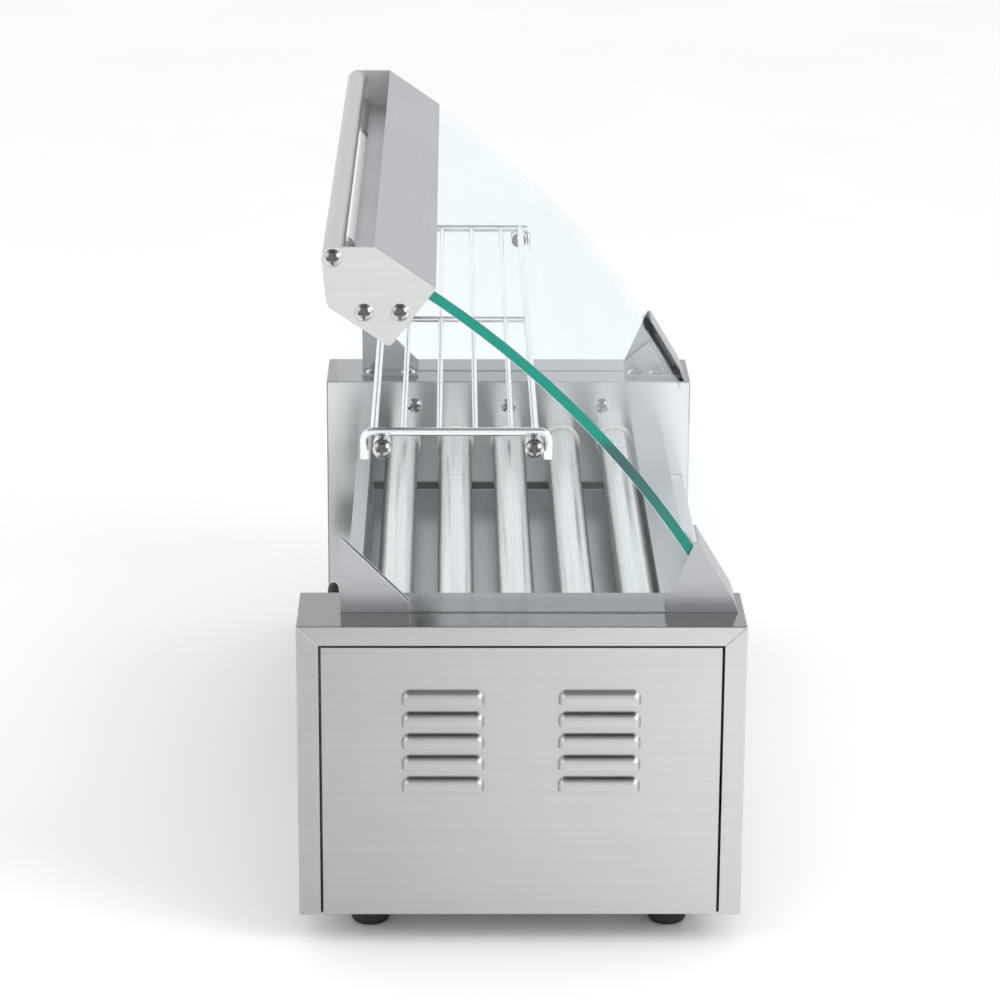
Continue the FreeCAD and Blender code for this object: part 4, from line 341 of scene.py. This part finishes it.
def glass_edge(graph, colour):
    """Ground edge of the sheet, where the glass shows its depth of colour, with a faint painted glow."""
    fine = graph.noise(graph.place(), 500.0, 3.0)
    base = graph.blend(graph.remap(fine, 0.35, 0.7, 0.0, 0.25), colour, (0.01, 0.16, 0.13, 1.0))
    # Painted glow: the edge emits a little of its own colour.
    return graph.shader(Base_Color=base, Roughness=0.3, Specular_IOR_Level=0.15, Emission_Color=base,
                        Emission_Strength=0.06)


def front_glass():
    """Curved pane: clear faces, teal ends and foot, and a painted slate reflection where the ends back the
    rollers.
    """
    graph = Graph("CurvedGlass")
    low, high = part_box("front_glass")
    height = high.z - low.z
    level = graph.axis("Z")
    foot = graph.remap(level, low.z + 2.07 * MM, low.z + 2.1 * MM, 1.0, 0.0)
    side = graph.remap(graph.calc("ABSOLUTE", graph.facing("X")), 0.4, 0.6, 0.0, 1.0)
    rim = outer(graph, graph.calc("MAXIMUM", side, foot))
    clear = clear_sheet(graph, (0.978, 0.995, 0.998, 1.0), (0.86, 0.95, 0.98, 1.0))
    # Painted reflection: the rollers darken the ends to slate between these heights.
    above = graph.remap(level, low.z + 0.50 * height, low.z + 0.53 * height, 0.0, 1.0)
    below = graph.remap(level, low.z + 0.18 * height, low.z + 0.42 * height, 1.0, 0.0)
    teal = (0.020, 0.245, 0.185, 1.0)
    painted_reflection_slate = (0.055, 0.115, 0.12, 1.0)
    deep_green = (0.008, 0.11, 0.085, 1.0)
    colour = graph.blend(graph.calc("MAXIMUM", above, below), painted_reflection_slate, teal)
    foot_shade = graph.remap(level, low.z, low.z + 0.3 * height, 0.45, 0.0)
    colour = graph.blend(foot_shade, colour, deep_green)
    return graph.finish(graph.layer(rim, clear, glass_edge(graph, colour)))


def side_glass():
    """Flat pane: clear on its faces, with a painted pale highlight on its polished rim."""
    graph = Graph("SideGlass")
    rim = graph.remap(graph.calc("ABSOLUTE", graph.facing("X")), 0.4, 0.6, 1.0, 0.0)
    clear = clear_sheet(graph, (0.982, 0.996, 0.998, 1.0), (0.88, 0.95, 0.97, 1.0))
    fine = graph.noise(graph.place(), 300.0, 3.0)
    pale = (0.80, 0.93, 0.93, 1.0)
    aqua = (0.62, 0.82, 0.82, 1.0)
    colour = graph.blend(graph.remap(fine, 0.35, 0.7, 0.0, 0.4), pale, aqua)
    # Painted highlight: the rim is coloured pale aqua.
    edge = graph.shader(Base_Color=colour, Roughness=0.2, Coat_Weight=0.4)
    shown = outer(graph, graph.calc("MULTIPLY", rim, 0.6))
    return graph.finish(graph.layer(shown, clear, edge))


def lamp_glass():
    """Frosted white lamp tube, lit softly, with metal end caps."""
    graph = Graph("LampGlass")
    cap_length = 17.0 * MM
    cap_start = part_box("lamp_tube")[1].x - cap_length
    off_centre = graph.calc("ABSOLUTE", graph.axis("X"))
    capped = graph.remap(off_centre, cap_start, cap_start + 0.2 * MM, 0.0, 1.0)
    frost = graph.noise(graph.place(), 400.0, 3.0)
    milky = (0.95, 0.96, 0.95, 1.0)
    chalky = (0.86, 0.88, 0.87, 1.0)
    white = graph.blend(graph.remap(frost, 0.3, 0.7, 0.0, 0.3), milky, chalky)
    glow = graph.shader(Base_Color=white, Roughness=0.25, Coat_Weight=0.5, Emission_Color=white,
                        Emission_Strength=0.30)
    metal = graph.shader(Base_Color=(0.62, 0.63, 0.62, 1.0), Metallic=1.0,
                         Roughness=graph.remap(frost, 0.3, 0.7, 0.2, 0.35))
    return graph.finish(graph.layer(capped, glow, metal))


def dark_metal(name, colour, roughness, stain):
    """Heat-darkened or oiled steel with blotchy colour."""
    graph = Graph(name)
    blotches = graph.noise(graph.place(), 70.0, 5.0, 0.65)
    grit = graph.noise(graph.place(), 1200.0, 2.0)
    base = graph.blend(graph.remap(blotches, 0.35, 0.7, 0.0, 1.0), colour, stain)
    rough = graph.calc("ADD", graph.remap(blotches, 0.3, 0.7, -0.08, 0.12), roughness, clamp=True)
    normal = graph.bump(grit, 0.04 * MM, 0.4, radius=0.2 * MM)
    return graph.finish(graph.shader(Base_Color=base, Metallic=0.9, Roughness=rough, Normal=normal))


def painted(name, colour):
    """Baked enamel with slight orange peel and chips down to grey at the edges."""
    graph = Graph(name)
    peel = graph.noise(graph.place(), 420.0, 2.0)
    clouds = graph.noise(graph.place(), 20.0, 3.0)
    chips = graph.calc("MULTIPLY", graph.edges(0.6 * MM), graph.remap(clouds, 0.5, 0.6, 0.0, 0.6))
    base = graph.blend(graph.remap(clouds, 0.3, 0.7, 0.0, 0.3), colour, shade(colour, 0.7))
    base = graph.blend(chips, base, grey(0.3))
    normal = graph.bump(peel, 0.06 * MM, 0.4, radius=0.6 * MM)
    return graph.finish(graph.shader(Base_Color=base, Roughness=0.38, Normal=normal, Coat_Weight=0.3))


def ink(name, colour):
    """Screen-printed ink, thin and a little uneven."""
    graph = Graph(name)
    cover = graph.noise(graph.place(), 900.0, 3.0)
    base = graph.blend(graph.remap(cover, 0.4, 0.75, 0.0, 0.4), colour, shade(colour, 1.6))
    rough = graph.remap(cover, 0.3, 0.7, 0.4, 0.6)
    return graph.finish(graph.shader(Base_Color=base, Roughness=rough))


STEEL = (0.51, 0.508, 0.503, 1.0)
BRIGHT = (0.80, 0.805, 0.81, 1.0)


def dress_nodes():
    """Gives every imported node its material. The words "X" and "Y" say how its grain runs."""
    panel = brushed_steel("PanelSteel", STEEL, 0.33, "Y", painted_end_light=True)
    housing = brushed_steel("HousingSteel", STEEL, 0.30, "Y", deck_roughness=0.09, painted_end_light=True)
    long_panel = brushed_steel("LongPanelSteel", STEEL, 0.30, "X")
    wall = brushed_steel("WallSteel", BRIGHT, 0.16, "Y")
    tray = brushed_steel("TraySteel", shade(BRIGHT, 0.75), 0.30, "X")
    # Painted shade: the hood cover's base is darker, for its shaded trough and slope.
    cover = brushed_steel("CoverSteel", (0.44, 0.445, 0.46, 1.0), 0.34, "X")
    plate = brushed_steel("PlateSteel", (0.66, 0.66, 0.66, 1.0), 0.42, "Y")
    bracket = brushed_steel("BracketSteel", (0.46, 0.465, 0.485, 1.0), 0.34, "Y")
    tube = brushed_steel("TubeSteel", (0.58, 0.58, 0.585, 1.0), 0.36, "X")
    shaft = plated("ShaftSteel", (0.60, 0.60, 0.60, 1.0), 0.2)
    wire = plated("ChromeWire", (0.95, 0.955, 0.965, 1.0), 0.16)
    sprocket = plated("SprocketZinc", (0.52, 0.53, 0.53, 1.0), 0.28)
    chain = dark_metal("ChainSteel", (0.16, 0.155, 0.15, 1.0), 0.38, (0.07, 0.06, 0.05, 1.0))
    heater = dark_metal("HeaterSheath", (0.14, 0.13, 0.12, 1.0), 0.5, (0.20, 0.13, 0.09, 1.0))
    looks = {
        housing: ["left_housing_shell", "right_housing_shell"],
        panel: ["left_end_panel", "right_end_panel", "base_pan"],
        long_panel: ["control_panel", "rear_panel"],
        wall: ["left_bearing_wall", "right_bearing_wall"],
        tray: ["drip_tray", "tray_shelf"],
        cover: ["hood_cover"],
        plate: ["left_hood_plate", "right_hood_plate", "rod_supports"],
        bracket: ["rear_glass_brackets", "front_glass_brackets"],
        tube: ["handle_tube"],
        roller_steel(): ["roller_%d" % number for number in range(1, 6)],
        bright_screws(): ["hood_screws", "frame_screws", "rack_screws", "foot_screws"],
        shaft: ["motor_shaft", "front_heat_knob_spindle", "rear_heat_knob_spindle"],
        wire: ["bun_rack"],
        sprocket: ["sprocket_%d" % number for number in range(1, 6)] + ["drive_sprocket"],
        chain: ["drive_chain"],
        heater: ["heating_rods"],
        painted("MotorEnamel", (0.03, 0.03, 0.032, 1.0)): ["drive_motor"],
        front_glass(): ["front_glass"],
        side_glass(): ["left_side_glass", "right_side_glass"],
        lamp_glass(): ["lamp_tube"],
        plastic("HolderPlastic", (0.42, 0.44, 0.41, 1.0), 0.45): ["lamp_holders"],
        plastic("BushingPlastic", (0.72, 0.71, 0.67, 1.0), 0.5): ["roller_bushings"],
        plastic("KnobPlastic", (0.022, 0.022, 0.023, 1.0), 0.40): ["front_heat_knob", "rear_heat_knob"],
        plastic("SwitchPlastic", (0.02, 0.02, 0.021, 1.0), 0.28, coat=0.2): ["switch_cases", "cord_ties"],
        plastic("BlackCase", (0.03, 0.03, 0.03, 1.0), 0.5): ["thermostats", "cord_gland"],
        plastic("TerminalPlastic", (0.62, 0.59, 0.50, 1.0), 0.42): ["terminal_block"],
        translucent_plastic("RedLens", (0.55, 0.012, 0.008, 1.0), 0.06): ["power_switch_rocker"],
        translucent_plastic("GreenLens", (0.015, 0.32, 0.06, 1.0), 0.05): ["light_switch_rocker"],
        translucent_plastic("AmberLens", (0.80, 0.20, 0.015, 1.0), 0.10): ["indicator_lamps"],
        rubber("BlackRubber", 0.018): ["power_cord", "power_plug", "rubber_feet"],
        rubber("PadRubber", 0.11): ["glass_pads"],
    }
    for material, names in looks.items():
        for name in names:
            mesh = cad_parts[name].data
            mesh.materials.clear()
            mesh.materials.append(material)


# ---- printed marks and paint --------------------------------------------------------------

def flat_mesh(name, outlines, thickness):
    """Thin raised shapes from outlines in X and Z, standing off the plane y = 0 towards -Y."""
    build = bmesh.new()
    for outline in outlines:
        corners = [build.verts.new((across, 0.0, up)) for across, up in outline]
        face = build.faces.new(corners)
        grown = bmesh.ops.extrude_face_region(build, geom=[face])["geom"]
        moved = [item for item in grown if isinstance(item, bmesh.types.BMVert)]
        bmesh.ops.translate(build, verts=moved, vec=(0.0, -thickness, 0.0))
    bmesh.ops.recalc_face_normals(build, faces=build.faces)
    mesh = bpy.data.meshes.new(name)
    build.to_mesh(mesh)
    build.free()
    piece = bpy.data.objects.new(name, mesh)
    bpy.context.scene.collection.objects.link(piece)
    return piece


def bar(across, up, half_width, half_height, turn=0.0):
    """Four corners of a bar, turned clockwise in the XZ plane as seen from the front."""
    cosine = math.cos(turn)
    sine = math.sin(turn)
    corners = ((-half_width, -half_height), (half_width, -half_height),
               (half_width, half_height), (-half_width, half_height))
    return [(across + x * cosine + z * sine, up - x * sine + z * cosine) for x, z in corners]


RING_BARS = 36
BAR_OVERLAP = 1.02


def ring(radius, thickness):
    """Short bars that close up into a circle."""
    half_chord = radius * math.sin(math.pi / RING_BARS) * BAR_OVERLAP
    bars = []
    for step in range(RING_BARS):
        turn = 2 * math.pi * step / RING_BARS
        bars.append(bar(radius * math.sin(turn), radius * math.cos(turn), half_chord, thickness / 2, turn))
    return bars


def set_mark(piece, place, material, body):
    """Puts a printed or painted piece in the frame and lets it ride a body."""
    piece.location = place
    piece.data.materials.append(material)
    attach(piece, body)


def number_piece(name, digits, size, thickness):
    """A numeral of the standard font as a thin mesh lying in the XZ plane, centred."""
    curve = bpy.data.curves.new(name, "FONT")
    curve.body = digits
    curve.size = size
    curve.extrude = thickness / 2
    curve.align_x = "CENTER"
    curve.align_y = "CENTER"
    writing = bpy.data.objects.new(name, curve)
    bpy.context.scene.collection.objects.link(writing)
    mesh = bpy.data.meshes.new_from_object(writing.evaluated_get(bpy.context.evaluated_depsgraph_get()))
    bpy.data.objects.remove(writing)
    mesh.transform(Matrix.Rotation(math.pi / 2, 4, "X"))
    piece = bpy.data.objects.new(name, mesh)
    bpy.context.scene.collection.objects.link(piece)
    return piece


INK_THICKNESS = 0.08 * MM
DIAL_STEP = math.radians(45)
DIAL_TOP_NUMBER = 6
TICK_GAP = 3.2 * MM
NUMBER_GAP = 8.8 * MM
NUMBER_SIZE = 6.0 * MM
LONG_TICK = (0.35 * MM, 1.4 * MM)
SHORT_TICK = (0.25 * MM, 0.8 * MM)


def knob_place(word):
    """Middle and radius of a knob at rest."""
    low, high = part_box(word + "_heat_knob")
    return (low + high) / 2, (high.x - low.x) / 2


def round_dial(reach, turn):
    """How far across and up a mark at this reach lies, turned clockwise from the top."""
    return reach * math.sin(turn), reach * math.cos(turn)


def print_dials(material):
    """A ring of ticks with the numbers 0 to 6 round each knob, clockwise from the top."""
    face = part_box("control_panel")[0].y
    for word in ("front", "rear"):
        middle, radius = knob_place(word)
        ticks = []
        for step in range(DIAL_TOP_NUMBER + 1):
            turn = DIAL_STEP * step
            ticks.append(bar(*round_dial(radius + TICK_GAP, turn), *LONG_TICK, turn))
            if step < DIAL_TOP_NUMBER:
                half = turn + DIAL_STEP / 2
                ticks.append(bar(*round_dial(radius + TICK_GAP, half), *SHORT_TICK, half))
            name = "%s_dial_number_%d" % (word, step)
            across, up = round_dial(radius + NUMBER_GAP, turn)
            spot = Vector((middle.x + across, face - INK_THICKNESS / 2, middle.z + up))
            set_mark(number_piece(name, str(step), NUMBER_SIZE, INK_THICKNESS), spot, material, ROOT)
        printed = flat_mesh(word + "_dial_ticks", ticks, INK_THICKNESS)
        set_mark(printed, Vector((middle.x, face, middle.z)), material, ROOT)


GROOVE_DEPTH = 0.5 * MM
PAINT_THICKNESS = 0.45 * MM
POINTER_HALF_WIDTH = 0.55 * MM
# Middle and half length of the stripe, as shares of the knob's radius.
POINTER_REACH = 0.46
POINTER_HALF_LENGTH = 0.22


def paint_pointers(material):
    """White paint in the groove of each knob's grip."""
    for word in ("front", "rear"):
        middle, radius = knob_place(word)
        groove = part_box(word + "_heat_knob")[0].y + GROOVE_DEPTH
        outline = bar(0.0, POINTER_REACH * radius, POINTER_HALF_WIDTH, POINTER_HALF_LENGTH * radius)
        stripe = flat_mesh(word + "_knob_pointer", [outline], PAINT_THICKNESS)
        set_mark(stripe, Vector((middle.x, groove, middle.z)), material, word + "_heat_knob")


SYMBOL_GAP = 4.5 * MM
ON_BAR = (0.3 * MM, 2.0 * MM)
OFF_RING = (1.8 * MM, 0.6 * MM)


def print_symbols(material):
    """On and off marks beside each switch: a bar above it and a ring below it."""
    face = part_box("control_panel")[0].y
    low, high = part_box("switch_cases")
    for word in ("power", "light"):
        rocker_low, rocker_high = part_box(word + "_switch_rocker")
        across = (rocker_low.x + rocker_high.x) / 2
        on_mark = flat_mesh(word + "_on_mark", [bar(0.0, 0.0, *ON_BAR)], INK_THICKNESS)
        set_mark(on_mark, Vector((across, face, high.z + SYMBOL_GAP)), material, ROOT)
        off_mark = flat_mesh(word + "_off_mark", ring(*OFF_RING), INK_THICKNESS)
        set_mark(off_mark, Vector((across, face, low.z - SYMBOL_GAP)), material, ROOT)


def add_marks():
    black = ink("PanelInk", (0.02, 0.02, 0.022, 1.0))
    white = ink("PointerPaint", (0.72, 0.72, 0.70, 1.0))
    print_dials(black)
    print_symbols(black)
    paint_pointers(white)


# ---- studio -----------------------------------------------------------------------------

VIEW_POINT = Vector((-2.2088, 0.0398, 0.8871))
VIEW_PITCH = math.radians(17.65)
VIEW_YAW = math.radians(-0.80)
VIEW_ROLL = math.radians(0.29)
VIEW_LENS = 127.7


def add_camera():
    """The viewing angle: from the left end, above the hood, looking along +X and down."""
    forward = Vector((math.cos(VIEW_PITCH) * math.cos(VIEW_YAW), math.cos(VIEW_PITCH) * math.sin(VIEW_YAW),
                      -math.sin(VIEW_PITCH)))
    level = forward.cross(Vector((0, 0, 1))).normalized()
    upright = level.cross(forward)
    right = level * math.cos(VIEW_ROLL) + upright * math.sin(VIEW_ROLL)
    up = upright * math.cos(VIEW_ROLL) - level * math.sin(VIEW_ROLL)
    lens = bpy.data.cameras.new("ViewCamera")
    lens.lens = VIEW_LENS
    lens.sensor_width = 36.0
    lens.clip_end = 60.0
    camera = bpy.data.objects.new("ViewCamera", lens)
    camera.matrix_world = Matrix.Translation(VIEW_POINT) @ Matrix((right, up, -forward)).transposed().to_4x4()
    bpy.context.scene.collection.objects.link(camera)
    bpy.context.scene.camera = camera


LIGHT_AIM = Vector((0.0, 0.0, 0.2))
FLOOR_HALF = 30.0


def add_light(name, place, size, power):
    """A square softbox aimed at the middle of the grill."""
    lamp = bpy.data.lights.new(name, "AREA")
    lamp.shape = "SQUARE"
    lamp.size = size
    lamp.energy = power
    box = bpy.data.objects.new(name, lamp)
    aim = LIGHT_AIM - Vector(place)
    box.location = place
    box.rotation_euler = aim.to_track_quat("-Z", "Y").to_euler()
    bpy.context.scene.collection.objects.link(box)


def add_floor():
    """A wide pale floor at the level of the feet."""
    mesh = bpy.data.meshes.new("Floor")
    corners = [(across * FLOOR_HALF, deep * FLOOR_HALF, 0)
               for across, deep in ((-1, -1), (1, -1), (1, 1), (-1, 1))]
    mesh.from_pydata(corners, [], [range(len(corners))])
    floor = bpy.data.objects.new("Floor", mesh)
    bpy.context.scene.collection.objects.link(floor)
    graph = Graph("FloorPaint")
    mottled = graph.remap(graph.noise(graph.place(), 3.0), 0.3, 0.7, 0.0, 1.0)
    base = graph.blend(mottled, grey(0.92), grey(0.94))
    mesh.materials.append(graph.finish(graph.shader(Base_Color=base, Roughness=0.7)))


# How bright the surroundings look, by the sine of the height above the horizon.
CEILING = ((0.02, 0.98), (0.30, 1.03), (0.50, 1.0), (0.68, 0.80), (0.80, 0.34), (0.95, 0.24))
CEILING_BLUE = 1.02
DIFFUSE_LEVEL = 1.04


def add_world():
    """Soft white surroundings up to half height and a dark ceiling, which gives steel its shape.

    Diffuse surfaces see an even grey-white dome, so that no hard shadow falls on the floor."""
    graph = Graph("Studio", bpy.data.worlds)
    direction = graph.node("TexCoord").outputs["Generated"]
    height = graph.node("SeparateXYZ", {0: direction}).outputs["Z"]
    dome = graph.node("ValToRGB", {"Fac": height})
    stops = dome.color_ramp.elements
    stops[0].color = grey(CEILING[0][1])
    stops[1].color = grey(CEILING[-1][1])
    for stop, level in CEILING:
        stops.new(stop).color = (level, level, level * CEILING_BLUE, 1.0)
    diffuse = graph.node("LightPath").outputs["Is Diffuse Ray"]
    seen = graph.blend(diffuse, dome.outputs["Color"], grey(DIFFUSE_LEVEL))
    sky = graph.node("Background", {"Color": seen}).outputs[0]
    bpy.context.scene.world = graph.finish(sky, "OutputWorld")


def set_studio():
    add_floor()
    add_world()
    add_light("KeySoftbox", place=(-1.5, 2.2, 1.7), size=1.6, power=8.0)
    add_light("FrontSoftbox", place=(-1.1, -1.5, 1.1), size=1.0, power=16.0)
    add_camera()
    bpy.context.scene.view_settings.view_transform = "Standard"


dress_nodes()
add_marks()
set_studio()
